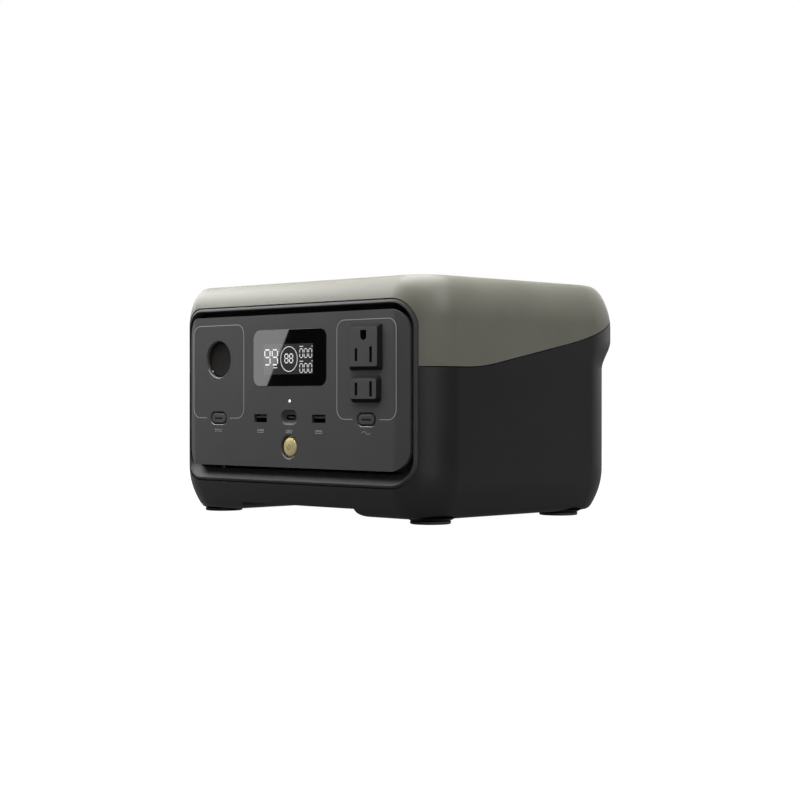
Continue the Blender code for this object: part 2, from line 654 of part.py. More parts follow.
def usb_ports():
    face = FRONT_Y + PANEL_THICK + GAP
    back = FRONT_BOARD_Y - GAP
    skin = 0.0004
    for name, x in (("left", -USB_A["x"]), ("right", USB_A["x"])):
        half_x, half_z, z = USB_A["half_x"], USB_A["half_z"], USB_A["z"]
        shell = box(f"usb_a_port_{name}", (x - half_x - skin, face, z - half_z - skin),
                    (x + half_x + skin, back, z + half_z + skin), "steel")
        cut(shell, box("space", (x - half_x, face - 0.001, z - half_z), (x + half_x, back - skin, z + half_z)))
        box(f"usb_a_tongue_{name}", (x - half_x + 0.0007, face + 0.0006, z + 0.0002),
            (x + half_x - 0.0007, back - skin - GAP, z + 0.0020), "socket_grey")
    z = USB_C["z"]
    outer = stadium(USB_C["half_x"] + skin, USB_C["half_z"] + skin, 0.0, z)
    shell = prism("usb_c_port", outer, "Y", face, back, "steel")
    inner = stadium(USB_C["half_x"], USB_C["half_z"], 0.0, z)
    cut(shell, prism("space", inner, "Y", face - 0.001, back - skin))
    box("usb_c_tongue", (-0.0033, face + 0.0008, z - 0.00035), (0.0033, back - skin - GAP, z + 0.00035), "inner_black")


def buttons():
    """Each cap has a flange that keeps it behind the panel, and a stem that reaches a switch on the board."""
    face = FRONT_Y + BUTTON_RECESS
    flange = FRONT_Y + PANEL_THICK + GAP
    switch_top = -0.0945
    stem_end = switch_top - BUTTON_TRAVEL - 0.0002
    for name, x in (("dc", -SIDE_FEATURE_X), ("ac", SIDE_FEATURE_X)):
        half_x, half_z, z = SIDE_BUTTON["half_x"], SIDE_BUTTON["half_z"], SIDE_BUTTON["z"]
        cap = prism(f"{name}_button", stadium(half_x, half_z, x, z), "Y", face, flange + 0.0003, "panel_grey")
        rim = prism("rim", stadium(half_x + BUTTON_FLANGE, half_z + BUTTON_FLANGE, x, z), "Y", flange,
                    flange + BUTTON_FLANGE)
        joined(cap, rim, rod("stem", (x, flange + 0.0005, z), stem_end, "Y", 0.0015, sides=12))
        switch(f"{name}_switch", x, z, switch_top)
    z, radius = POWER_BUTTON["z"], POWER_BUTTON["radius"]
    cap = rod("power_button", (0.0, face, z), flange + 0.0003, "Y", radius, "brass")
    rim = rod("rim", (0.0, flange, z), flange + BUTTON_FLANGE, "Y", radius + BUTTON_FLANGE)
    joined(cap, rim, rod("stem", (0.0, flange + 0.0005, z), stem_end, "Y", 0.0015, sides=12))
    switch("power_switch", 0.0, z, switch_top)


def switch(name, x, z, top):
    half = 0.0030
    body = box(name, (x - half, top + 0.0008, z - half), (x + half, FRONT_BOARD_Y - GAP, z + half), "inner_black")
    joined(body, rod("plunger", (x, top, z), top + 0.0012, "Y", 0.0016, sides=12))


# ---------------------------------------------------------------- boards, battery and cooling
def front_board():
    low, step, high = 0.0370, 0.0710, 0.1220
    wide, narrow = 0.0830, 0.0500
    outline = [(-wide, low), (wide, low), (wide, step), (narrow, step), (narrow, high), (-narrow, high),
               (-narrow, step), (-wide, step)]
    prism("front_board", outline, "Y", FRONT_BOARD_Y, FRONT_BOARD_Y + BOARD_THICK, "board_green")


def battery():
    """Sixteen cells in four rows, each row tied by a strip at both ends, between a tray and a cap."""
    half = (CELLS_PER_ROW - 1) / 2 * CELL_PITCH
    edge = half + CELL_RADIUS + 0.001
    x, y, z = BATTERY["x"], BATTERY["y"], BATTERY["z"]
    top = z + CELL_LONG
    strip = 0.0006
    for row in range(CELLS_PER_ROW):
        cx = x - half + row * CELL_PITCH
        bank = box(f"cell_row_{row + 1}", (cx - 0.004, y - half, z - strip), (cx + 0.004, y + half, z + 0.0002),
                   "cell_blue")
        bank = joined(bank, box("strip", (cx - 0.004, y - half, top - 0.0002), (cx + 0.004, y + half, top + strip)))
        for column in range(CELLS_PER_ROW):
            cy = y - half + column * CELL_PITCH
            bank = joined(bank, rod("cell", (cx, cy, z), top, "Z", CELL_RADIUS, sides=18))
        bank.name = f"cell_row_{row + 1}"
    plate = 0.0030
    for name, low, high, lip in (("battery_tray", z - strip - GAP - plate, z - strip - GAP, 0.008),
                                 ("battery_cap", top + strip + GAP, top + strip + GAP + plate, -0.008)):
        tray = box(name, (x - edge - plate, y - edge - plate, min(low, low + lip)),
                   (x + edge + plate, y + edge + plate, max(high, high + lip)), "inner_black")
        inner_low, inner_high = (high, high + 0.02) if lip > 0 else (low - 0.02, low)
        cut(tray, box("inside", (x - edge, y - edge, inner_low), (x + edge, y + edge, inner_high)))


def bms_board():
    z = BATTERY["z"] + CELL_LONG + 0.0075
    x, y = BATTERY["x"], BATTERY["y"]
    board = box("bms_board", (x - 0.045, y - 0.028, z), (x + 0.045, y + 0.042, z + BOARD_THICK), "board_green")
    for dx, dy, sx, sy, sz in ((-0.028, 0.020, 0.010, 0.008, 0.005), (0.0, 0.020, 0.007, 0.007, 0.003),
                               (0.026, -0.010, 0.008, 0.012, 0.008), (-0.020, -0.012, 0.012, 0.006, 0.004)):
        low = (x + dx - sx, y + dy - sy, z + BOARD_THICK / 2)
        high = (x + dx + sx, y + dy + sy, z + BOARD_THICK + sz)
        board = joined(board, box("component", low, high))


def inverter():
    x, y, z = INVERTER["x"], INVERTER["y"], INVERTER["z"]
    half_x, half_y = INVERTER["half_x"], INVERTER["half_y"]
    top = z + BOARD_THICK + GAP
    box("inverter_board", (x - half_x, y - half_y, z), (x + half_x, y + half_y, z + BOARD_THICK), "board_green")
    core = box("inverter_transformer", (x - 0.026, y - 0.038, top), (x + 0.006, y - 0.010, top + 0.030), "inner_black")
    joined(core, box("winding", (x - 0.0225, y - 0.042, top + 0.006), (x + 0.0025, y - 0.006, top + 0.024)))
    for number, cy in ((1, -0.030), (2, -0.011)):
        rod(f"inverter_capacitor_{number}", (x + 0.018, y + cy, top), top + 0.032, "Z", 0.0085, "aluminium")
    fins, pitch, fin = 7, 0.0080, 0.0022
    left, base, high = x - 0.0250, top, 0.034
    outline = [(left, base)]
    outline.append((left + (fins - 1) * pitch + fin, base))
    for i in reversed(range(fins)):
        foot = left + i * pitch
        outline += [(foot + fin, base + high), (foot, base + high)]
        if i:
            outline += [(foot, base + 0.004), (foot - pitch + fin, base + 0.004)]
    prism("inverter_heatsink", outline, "Y", y + 0.004, y + 0.040, "aluminium")


def fan():
    x, z, half = FAN["x"], FAN["z"], FAN["half"]
    front, back = FAN["front"], FAN["front"] + FAN["deep"]
    frame = prism("fan_frame", rounded(half, z - half, z + half, 0.004, 3, x), "Y", front, back, "inner_black")
    frame = cut(frame, rod("bore", (x, front - 0.001, z), back + 0.001, "Y", FAN["bore"], sides=32))
    thin = 0.0018
    for turn in range(3):
        arm = box("arm", (-0.0020, front + 0.0004, -0.0241), (0.0020, front + thin, -0.0060))
        arm.data.transform(Matrix.Translation((x, 0, z)) @ Matrix.Rotation(math.radians(30 + 120 * turn), 4, "Y"))
        frame = joined(frame, arm)
    frame = joined(frame, rod("mount", (x, front, z), front + thin + 0.0004, "Y", 0.0095, sides=20))
    hub_start = front + thin + 0.0004 + GAP
    rotor = rod("fan_rotor", (x, hub_start, z), back - 0.0012, "Y", 0.0098, "inner_black", sides=20)
    for i in range(FAN_BLADES):
        blade = box("blade", (-0.0062, -0.0007, 0.0088), (0.0062, 0.0007, 0.0222))
        place = Matrix.Translation((x, (hub_start + back - 0.0012) / 2, z))
        spin = Matrix.Rotation(math.tau * i / FAN_BLADES, 4, "Y")
        blade.data.transform(place @ spin @ Matrix.Rotation(math.radians(38), 4, "Z"))
        rotor = joined(rotor, blade)


def inputs():
    panel = rounded(INPUT_PANEL["half_x"], INPUT_PANEL["low"], INPUT_PANEL["high"], INPUT_PANEL["radius"],
                    centre_u=INPUT_PANEL["x"])
    plate = prism("input_panel", panel, "Y", REAR_Y - 0.0030, REAR_Y - GAP, "inner_black")
    face = REAR_Y - GAP
    x, z = AC_INLET["x"], AC_INLET["z"]
    shroud, space, chamfer, deep = (0.0140, 0.0102), (0.0123, 0.0083), 0.0042, 0.0165
    outline = rounded(shroud[0], z - shroud[1], z + shroud[1], 0.002, 2, x)
    grown = rounded(shroud[0] + GAP, z - shroud[1] - GAP, z + shroud[1] + GAP, 0.002, 2, x)
    plate = cut(plate, prism("hole", grown, "Y", REAR_Y - 0.02, REAR_Y + 0.02))
    inlet = prism("ac_inlet", outline, "Y", face - deep - 0.004, face, "inner_black")
    sx, sz = space
    mouth = [(x - sx, z - sz), (x + sx, z - sz), (x + sx, z + sz - chamfer), (x + sx - chamfer, z + sz),
             (x - sx + chamfer, z + sz), (x - sx, z + sz - chamfer)]
    inlet = cut(inlet, prism("mouth", mouth, "Y", face - deep, face + 0.01))
    for name, dx, dz in (("line", -0.0070, -0.0020), ("neutral", 0.0070, -0.0020), ("earth", 0.0, 0.0020)):
        low = (x + dx - 0.0010, face - deep + GAP, z + dz - 0.0020)
        high = (x + dx + 0.0010, face - 0.004, z + dz + 0.0020)
        box(f"ac_inlet_pin_{name}", low, high, "brass")
    x, z = DC_INLET["x"], DC_INLET["z"]
    half_x, half_z, deep = 0.0098, 0.0060, 0.0150
    outline = rounded(half_x, z - half_z, z + half_z, 0.0012, 2, x)
    grown = rounded(half_x + GAP, z - half_z - GAP, z + half_z + GAP, 0.0012, 2, x)
    cut(plate, prism("hole", grown, "Y", REAR_Y - 0.02, REAR_Y + 0.02))
    inlet = prism("dc_inlet", outline, "Y", face - deep - 0.003, face, "inner_black")
    sx, sz = 0.0082, 0.0043
    mouth = [(x - sx, z - sz), (x + sx - 0.003, z - sz), (x + sx, z - sz + 0.002), (x + sx, z + sz - 0.002),
             (x + sx - 0.003, z + sz), (x - sx, z + sz)]
    cut(inlet, prism("mouth", mouth, "Y", face - deep, face + 0.01))
    for name, dx in (("positive", -0.0036), ("negative", 0.0036)):
        rod(f"dc_inlet_pin_{name}", (x + dx, face - deep + GAP, z), face - 0.003, "Y", 0.00175, "brass", sides=16)


def smooth_route(points, count):
    """Points along a Catmull-Rom curve through the given ones."""
    padded = [points[0], *points, points[-1]]
    route = []
    spans = len(points) - 1
    for i in range(count + 1):
        s = min(i / count * spans, spans - 1e-9)
        k = int(s)
        t = s - k
        a, b, c, d = (Vector(p) for p in padded[k:k + 4])
        route.append(0.5 * (2 * b + (c - a) * t + (2 * a - 5 * b + 4 * c - d) * t ** 2
                            + (3 * b - a - 3 * c + d) * t ** 3))
    return route


def cables():
    """The battery's two leads, from the management board across to the inverter board."""
    x, y = BATTERY["x"], BATTERY["y"]
    start_z = BATTERY["z"] + CELL_LONG + 0.0075 + BOARD_THICK + 0.0020
    end_z = INVERTER["z"] + BOARD_THICK + 0.0022
    for name, dy, look in (("positive", 0.0260, "cable_red"), ("negative", 0.0320, "inner_black")):
        cy = y + dy
        cx = INVERTER["x"] - INVERTER["half_x"]
        stops = [(x + 0.030, cy, start_z), (x + 0.052, cy, start_z + 0.0005), (cx + 0.0010, cy, start_z - 0.006),
                 (cx + 0.0010, cy, 0.060), (cx + 0.0010, cy, 0.035), (cx + 0.0012, cy, end_z + 0.004)]
        data = bpy.data.curves.new(f"battery_cable_{name}", "CURVE")
        data.dimensions = "3D"
        data.bevel_depth = 0.0016
        data.bevel_resolution = 2
        data.use_fill_caps = True
        route = smooth_route(stops, 18)
        spline = data.splines.new("POLY")
        spline.points.add(len(route) - 1)
        for point, place in zip(spline.points, route):
            point.co = (*place, 1)
        frozen(part_of(data, f"battery_cable_{name}"), look)


# ---------------------------------------------------------------- feet and screws
def feet_and_screws():
    for place, (x, y) in FOOT_PLACES.items():
        rod(f"foot_{place}", (x, y, 0.0), FOOT_HIGH - GAP, "Z", FOOT_RADIUS, "rubber")
        seat, head = SCREW["seat"], SCREW["head"]
        profile = [(0.0, seat - GAP - head), (SCREW["head_radius"], seat - GAP - head),
                   (SCREW["head_radius"], seat - GAP), (SCREW["radius"], seat - GAP),
                   (SCREW["radius"], SCREW["tip"] - 0.002), (0.0, SCREW["tip"])]
        turned(f"case_screw_{place}", profile, Matrix.Translation((x, y, 0.0)), "steel", 14)


def shade_round_parts():
    for obj in PARTS.objects:
        obj.data.shade_smooth()
        obj.data.set_sharp_from_angle(angle=math.radians(32))


top_cover()
lower_housing()
front_bezel()
vent_frame()
front_panel()
display()
mains_sockets()
car_socket()
usb_ports()
buttons()
front_board()
battery()
bms_board()
inverter()
fan()
inputs()
cables()
feet_and_screws()
shade_round_parts()
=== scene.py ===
"""Looks of a portable power station: fine shells, panel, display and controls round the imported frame.

Metres, +Z up, in the frame's own axes. The front panel faces -Y.
"""

import json
import math

import bmesh
import bpy
from mathutils import Matrix, Vector

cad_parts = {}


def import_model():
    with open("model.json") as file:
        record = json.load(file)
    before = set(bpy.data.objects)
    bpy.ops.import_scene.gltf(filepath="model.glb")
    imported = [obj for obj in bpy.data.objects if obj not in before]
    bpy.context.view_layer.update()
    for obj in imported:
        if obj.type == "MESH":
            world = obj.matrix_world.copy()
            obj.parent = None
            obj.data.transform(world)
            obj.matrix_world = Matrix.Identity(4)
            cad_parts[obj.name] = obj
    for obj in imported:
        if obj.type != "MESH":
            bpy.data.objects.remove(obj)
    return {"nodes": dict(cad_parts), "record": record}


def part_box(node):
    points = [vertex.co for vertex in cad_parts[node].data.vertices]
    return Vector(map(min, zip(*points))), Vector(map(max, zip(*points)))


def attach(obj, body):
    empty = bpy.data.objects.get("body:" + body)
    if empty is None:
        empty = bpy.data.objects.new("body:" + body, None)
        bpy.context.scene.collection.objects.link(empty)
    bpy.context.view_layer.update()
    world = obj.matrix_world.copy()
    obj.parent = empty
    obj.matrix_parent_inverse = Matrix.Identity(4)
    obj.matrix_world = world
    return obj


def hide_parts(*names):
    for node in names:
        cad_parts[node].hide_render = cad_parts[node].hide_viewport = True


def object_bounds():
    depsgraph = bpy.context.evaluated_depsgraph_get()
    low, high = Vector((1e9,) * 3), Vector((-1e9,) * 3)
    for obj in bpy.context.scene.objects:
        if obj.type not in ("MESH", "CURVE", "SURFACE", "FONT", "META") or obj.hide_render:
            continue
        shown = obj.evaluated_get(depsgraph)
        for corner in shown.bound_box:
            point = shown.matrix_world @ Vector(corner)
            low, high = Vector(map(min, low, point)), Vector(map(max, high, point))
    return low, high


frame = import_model()
CAD_BOX = [[float(v) for v in corner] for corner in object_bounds()]

# ---------------------------------------------------------------- sizes taken from the frame
LOW, HIGH = (Vector(corner) for corner in CAD_BOX)
WIDTH = HIGH.x - LOW.x
HEIGHT = HIGH.z
HANDLE_Y = HIGH.y
FRONT_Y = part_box("front_panel")[0][1]
REAR_Y = FRONT_Y + 0.1892
WALL = 0.0025
GAP = 0.0003
OVERSHOOT = 0.020

FRONT_CORNER = 0.030
REAR_CORNER = 0.0328
HANDLE_CORNER = REAR_CORNER + 0.0200
REAR_LEAN = 0.0030
LEAN_STARTS_Z = 0.122
BASE_Z = 0.0032
LOWER_EDGE = {"rise": 0.028, "inset": 0.0090, "curve": 2.1, "round": 0.0028}
UPPER_EDGE = {"rise": 0.027, "inset": 0.013}
HANDLE_STARTS_Z = 0.0955
HANDLE_FULL_Z = 0.115
FINE = {"corner": 28, "edge": 20}
COARSE = {"corner": 6, "edge": 5}

SLOT = {"half_x": 0.058, "y": 0.0753, "half_y": 0.0127}
SCOOP = {"radius": 0.024, "y": 0.0840, "z": 0.0900, "half_x": 0.040}
CHANNEL = {"half_top": 0.053, "half_bottom": 0.062, "high": 0.0048}
CHANNEL_STEPS = 12

SEAM_Z = 0.0957
SEAM_FLAT_Y = FRONT_Y + 0.036
SEAM_BEND = 0.028
SEAM_SLOPE = 0.19
SEAM_REAR_CURVE = 2.2
SEAM_CURVE_STARTS_Y = 0.030
SEAM_CURVE_ENDS_Y = 0.088
SEAM_GAP = 0.0006
SEAM_STEPS = 48

OPENING = {"half_x": 0.1084, "low": 0.0215, "high": 0.1370, "radius": 0.018}
LIP = {"half_x": 0.1056, "low": 0.0240, "high": 0.1341, "radius": 0.0155}
FUNNEL = {"half_x": 0.1053, "low": 0.0303, "high": 0.1334, "radius": 0.0150}
PANEL = {"half_x": 0.1034, "low": 0.0323, "high": 0.1302, "radius": 0.0130}
FUNNEL_DEPTH = 0.0065
BEZEL_DEPTH = 0.0090
EDGE_ROUND = 0.0004
BEZEL_SET_BACK = 0.0017
BEZEL_GAP = 0.0007
BEZEL_FACE_SHARE = 0.85
THROAT_ROUND = 0.0007
STRAIGHT_STEPS = 16

PANEL_THICK = 0.0024
PANEL_FLAT_X = 0.0930
PANEL_BEND_RADIUS = 0.0080
PANEL_BEND_DEG = 25
SIDE_X = 0.0700
WINDOW = {"half_x": 0.0347, "low": 0.0843, "high": 0.1205, "radius": 0.0058, "thick": 0.0015}
CAR_Z = 0.1022
CAR_HOLE_RADIUS = 0.0119
GROUNDED = {"z": 0.1078, "half_x": 0.0141, "half_z": 0.0141, "corner": 0.0012}
TWO_PIN = {"z": 0.0821, "half_x": 0.0132, "half_z": 0.0082, "corner": 0.0028}
SOCKET_PROUD = 0.0024
SOCKET_CHAMFER = 0.0022
SOCKET_DEEP = 0.0280
SOCKET_NECK_INSET = 0.0016
BLADE_DEEP = 0.020
FAR_AHEAD = -0.2
BLADE_SPACING = 0.0127
BLADE_WIDTH = 0.0022
GROUNDED_BLADE_Z = 0.1031
GROUND_HOLE_Z = GROUNDED_BLADE_Z + 0.0119
USB_A = {"x": 0.0276, "z": 0.0636, "half_x": 0.00625, "half_z": 0.0026}
USB_C = {"z": 0.0643, "half_x": 0.0046, "half_z": 0.0017}
PILL = {"z": 0.0634, "half_x": 0.0070, "half_z": 0.00315}
POWER = {"z": 0.0455, "radius": 0.0065}
BUTTON_GAP = 0.0008
BUTTON_RECESS = 0.0002
RIM = 0.0007
PORT_DISH = {"grow": 0.0006, "wide": 0.0026, "deep": 0.0018}
SWITCH_Y = -0.0945
TRAVEL = 0.0008
STEM_RADIUS = 0.0015
LAMP = {"z": 0.0748, "radius": 0.00125}
PRINT_PROUD = 0.00005
PRINT_WIDE = 0.00042

FOOT_HIGH = 0.0022
FOOT_RADIUS = 0.0125
PAD_RADIUS = 0.0150
SCREW_PLACES = [tuple((Vector(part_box(f"foot_{a}_{b}")[0]) + Vector(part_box(f"foot_{a}_{b}")[1])) / 2)[:2]
                for a in ("front", "rear") for b in ("left", "right")]
FAN_X, FAN_Z = 0.0560, 0.0400
FAN_SLITS = {"count": 7, "pitch": 0.0065, "half_x": 0.0015, "half_z": 0.019}
INPUTS = {"x": -0.0360, "half_x": 0.0440, "low": 0.0200, "high": 0.0540, "radius": 0.0060}

FLOOR_Z = -0.0001
CAMERA_PLACE = (0.8439, FRONT_Y - 0.7577, 0.0754)
CAMERA_TURN = 44.51
CAMERA_LENS = 80
# soft glows round the object: the way to the middle, the cosines where each begins and is full, and its strength
SKY = (((0.15, 1.0, 0.08), 0.84, 0.96, 0.76), ((0.3, 0.5, 0.8), 0.70, 0.95, 0.24),
       ((-0.45, 0.45, 0.75), 0.60, 0.95, 0.12), ((-0.7, 0.7, 0.0), 0.50, 0.95, 0.08),
       ((0.82, -0.57, 0.10), 0.90, 0.97, 1.25))
MIDDLE = (0.0, 0.0, 0.07)
# name, place, target, width, watts, height
LIGHTS = (("overhead", (0.0, -0.02, 0.95), (0.0, 0.0, 0.0), 1.1, 25.0, 1.0),
          ("key", (-0.21, -0.24, 0.47), (-0.02, -0.05, 0.10), 0.50, 1.5, 0.40),
          ("front_left", (-0.44, -0.26, 0.42), (-0.06, -0.10, 0.13), 0.34, 1.7, 0.24),
          ("right_high", (1.15, -0.05, 0.75), MIDDLE, 0.60, 5.0, 0.50),
          ("left_fill", (-1.25, 0.15, 0.60), MIDDLE, 0.60, 3.6, 0.60),
          ("rear_fill", (-0.60, 1.20, 0.50), MIDDLE, 0.80, 2.5, 0.50))


# ---------------------------------------------------------------- node materials
def shader(name):
    made = bpy.data.materials.new(name)
    made.use_nodes = True
    return made, made.node_tree, made.node_tree.nodes["Principled BSDF"]


def noise(tree, scale, detail=3.0):
    place = tree.nodes.new("ShaderNodeTexCoord")
    made = tree.nodes.new("ShaderNodeTexNoise")
    made.inputs["Scale"].default_value = scale
    made.inputs["Detail"].default_value = detail
    tree.links.new(place.outputs["Object"], made.inputs["Vector"])
    return made


def spread(tree, source, low, high):
    """The texture's middle range, mapped from low to high."""
    made = tree.nodes.new("ShaderNodeMapRange")
    made.inputs["From Min"].default_value = 0.3
    made.inputs["From Max"].default_value = 0.7
    made.inputs["To Min"].default_value = low
    made.inputs["To Max"].default_value = high
    tree.links.new(source, made.inputs["Value"])
    return made.outputs["Result"]


def tinted(tree, surface, source, colour, low, high):
    """Makes the base colour vary from low to high times the colour, as a texture does."""
    mix = tree.nodes.new("ShaderNodeMix")
    mix.data_type = "RGBA"
    mix.inputs["A"].default_value = (*(c * low for c in colour), 1)
    mix.inputs["B"].default_value = (*(min(c * high, 1) for c in colour), 1)
    tree.links.new(source, mix.inputs["Factor"])
    tree.links.new(mix.outputs["Result"], surface.inputs["Base Color"])
    return mix.outputs["Result"]


def moulded(name, colour, roughness, grain=0.25, scale=2600.0, mottle=0.06, specular=0.5, metallic=0.0):
    """Moulded plastic or rubber: a fine grain in the bump, and slow variation in colour and gloss."""
    made, tree, surface = shader(name)
    slow = noise(tree, 35.0, 4.0)
    fine = noise(tree, scale, 2.0)
    tinted(tree, surface, spread(tree, slow.outputs["Fac"], 0.0, 1.0), colour, 1 - mottle, 1 + mottle)
    rough = tree.nodes.new("ShaderNodeMath")
    rough.operation = "ADD"
    tree.links.new(spread(tree, fine.outputs["Fac"], -0.03, 0.03), rough.inputs[0])
    tree.links.new(spread(tree, slow.outputs["Fac"], roughness - 0.025, roughness + 0.025), rough.inputs[1])
    tree.links.new(rough.outputs[0], surface.inputs["Roughness"])
    bump = tree.nodes.new("ShaderNodeBump")
    bump.inputs["Strength"].default_value = grain
    bump.inputs["Distance"].default_value = 0.00006
    tree.links.new(fine.outputs["Fac"], bump.inputs["Height"])
    tree.links.new(bump.outputs["Normal"], surface.inputs["Normal"])
    surface.inputs["Specular IOR Level"].default_value = specular
    surface.inputs["Metallic"].default_value = metallic
    return made


def polished(name, colour):
    """Clear hard plastic over black, with the faint clouding of a wiped screen."""
    made, tree, surface = shader(name)
    cloud = noise(tree, 60.0, 3.0)
    tinted(tree, surface, cloud.outputs["Fac"], colour, 0.85, 1.15)
    tree.links.new(spread(tree, cloud.outputs["Fac"], 0.008, 0.022), surface.inputs["Roughness"])
    return made


def brushed(name, colour, roughness, stretch=(40.0, 40.0, 1.0), scale=90.0):
    """Metal with fine lines in its finish."""
    made, tree, surface = shader(name)
    place = tree.nodes.new("ShaderNodeTexCoord")
    mapping = tree.nodes.new("ShaderNodeMapping")
    mapping.inputs["Scale"].default_value = stretch
    lines = tree.nodes.new("ShaderNodeTexNoise")
    lines.inputs["Scale"].default_value = scale
    tree.links.new(place.outputs["Object"], mapping.inputs["Vector"])
    tree.links.new(mapping.outputs["Vector"], lines.inputs["Vector"])
    rough = spread(tree, lines.outputs["Fac"], roughness - 0.08, roughness + 0.08)
    tree.links.new(rough, surface.inputs["Roughness"])
    tinted(tree, surface, spread(tree, lines.outputs["Fac"], 0.0, 1.0), colour, 0.9, 1.06)
    surface.inputs["Metallic"].default_value = 1.0
    return made


def lit(name, colour, strength):
    """A lamp's or a display's glowing part, a little uneven."""
    made, tree, surface = shader(name)
    glow = noise(tree, 900.0, 1.0)
    tint = tinted(tree, surface, glow.outputs["Fac"], colour, 0.94, 1.0)
    tree.links.new(tint, surface.inputs["Emission Color"])
    surface.inputs["Emission Strength"].default_value = strength
    surface.inputs["Roughness"].default_value = 0.4
    return made


def board():
    """Green solder mask with faint lines of copper under it."""
    made, tree, surface = shader("circuit_board")
    place = tree.nodes.new("ShaderNodeTexCoord")
    tracks = tree.nodes.new("ShaderNodeTexBrick")
    tracks.inputs["Scale"].default_value = 160.0
    tracks.inputs["Mortar Size"].default_value = 0.035
    tracks.inputs["Color1"].default_value = (0.010, 0.075, 0.035, 1)
    tracks.inputs["Color2"].default_value = (0.014, 0.095, 0.045, 1)
    tracks.inputs["Mortar"].default_value = (0.035, 0.16, 0.07, 1)
    tree.links.new(place.outputs["Object"], tracks.inputs["Vector"])
    tree.links.new(tracks.outputs["Color"], surface.inputs["Base Color"])
    tree.links.new(spread(tree, noise(tree, 300.0).outputs["Fac"], 0.28, 0.42), surface.inputs["Roughness"])
    return made


LOOKS = {
    "top_grey": moulded("top_cover_grey", (0.136, 0.1335, 0.107), 0.45, grain=0.20),
    "shell_black": moulded("housing_black", (0.0064, 0.0064, 0.0066), 0.38, grain=0.20),
    "bezel_grey": moulded("bezel_dark", (0.046, 0.046, 0.0455), 0.50, grain=0.12, specular=0.28),
    "panel_grey": moulded("panel_graphite", (0.0680, 0.0680, 0.0688), 0.50, grain=0.14, scale=3600.0, mottle=0.03,
                          specular=0.35),
    "socket_grey": moulded("socket_graphite", (0.068, 0.068, 0.0688), 0.5, grain=0.10, mottle=0.03, specular=0.35),
    "window_glass": polished("window_gloss", (0.0035, 0.0035, 0.0040)),
    "inner_black": moulded("inner_black", (0.009, 0.009, 0.010), 0.6, grain=0.3, specular=0.3),
    "brass": brushed("brass_contact", (0.75, 0.58, 0.28), 0.32),
    "steel": brushed("plated_steel", (0.50, 0.49, 0.47), 0.34),
    "status_white": lit("status_light_lens", (1.0, 1.0, 1.0), 1.6),
    "rubber": moulded("foot_rubber", (0.075, 0.075, 0.075), 0.50, grain=0.5, scale=1800.0, specular=0.3),
    "plug_rubber": moulded("plug_rubber", (0.0145, 0.0124, 0.0101), 0.70, grain=0.35, scale=2000.0, specular=0.15),
    "board_green": board(),
    "cell_blue": moulded("cell_sleeve", (0.03, 0.10, 0.27), 0.35, grain=0.1, mottle=0.1),
    "aluminium": brushed("aluminium", (0.72, 0.72, 0.73), 0.36, stretch=(1.0, 40.0, 40.0)),
    "cable_red": moulded("cable_red", (0.38, 0.02, 0.02), 0.5, grain=0.15),
}
EXTRA = {
    # near-black and dull: painted shade for the mains outlets' chamfers and slots
    "socket_painted_shade": moulded("painted_shade_socket_black", (0.010, 0.010, 0.010), 0.75, grain=0.1, specular=0.10),
    "print_grey": moulded("printed_grey", (0.38, 0.38, 0.38), 0.5, grain=0.1, mottle=0.04),
    "print_dark": moulded("printed_dark", (0.006, 0.006, 0.006), 0.75, grain=0.1, specular=0.10),
    "gold": moulded("champagne_button", (0.80, 0.69, 0.34), 0.36, grain=0.1, mottle=0.03, metallic=0.55),
    "port_steel": brushed("port_steel_dark", (0.060, 0.060, 0.062), 0.42),
    "tongue": moulded("port_tongue", (0.055, 0.055, 0.056), 0.5, grain=0.1),
    "rim": moulded("panel_rim", (0.060, 0.060, 0.060), 0.22, grain=0.1, specular=0.8),
    "gold_print": moulded("button_symbol", (0.12, 0.09, 0.03), 0.45, grain=0.1),
    "lcd": polished("display_field", (0.044, 0.044, 0.047)),
    "segment": lit("display_segment", (0.66, 0.67, 0.66), 0.80),
    "segment_dim": lit("display_segment_dim", (0.52, 0.53, 0.53), 0.62),
}


# ---------------------------------------------------------------- mesh helpers
def closed(mesh, outwards=True):
    work = bmesh.new()
    work.from_mesh(mesh)
    bmesh.ops.remove_doubles(work, verts=work.verts, dist=1e-6)
    if outwards:
        bmesh.ops.recalc_face_normals(work, faces=work.faces)
    work.to_mesh(mesh)
    work.free()
    return mesh


def piece_of(mesh, name):
    obj = bpy.data.objects.new(name, mesh)
    bpy.context.scene.collection.objects.link(obj)
    return obj


def from_bmesh(work, name):
    mesh = bpy.data.meshes.new(name)
    work.to_mesh(mesh)
    work.free()
    return piece_of(closed(mesh), name)


def frozen(obj, outwards=True):
    """The object remade as a plain mesh, with its modifiers and its place worked in."""
    bpy.context.view_layer.update()
    graph = bpy.context.evaluated_depsgraph_get()
    mesh = bpy.data.meshes.new_from_object(obj.evaluated_get(graph))
    mesh.transform(obj.matrix_world)
    name = obj.name
    bpy.data.objects.remove(obj)
    return piece_of(closed(mesh, outwards), name)


def combined(obj, other, operation):
    change = obj.modifiers.new(operation.lower(), "BOOLEAN")
    change.operation = operation
    change.solver = "EXACT"
    change.object = other
    made = frozen(obj, outwards=False)
    bpy.data.objects.remove(other)
    return made


def cut(obj, *cutters):
    for cutter in cutters:
        obj = combined(obj, cutter, "DIFFERENCE")
    return obj


def joined(obj, *others):
    for other in others:
        obj = combined(obj, other, "UNION")
    return obj


def grouped(name, objs):
    """One object that holds the given ones as separate solids."""
    work = bmesh.new()
    for obj in objs:
        work.from_mesh(obj.data)
        bpy.data.objects.remove(obj)
    mesh = bpy.data.meshes.new(name)
    work.to_mesh(mesh)
    work.free()
    return piece_of(mesh, name)


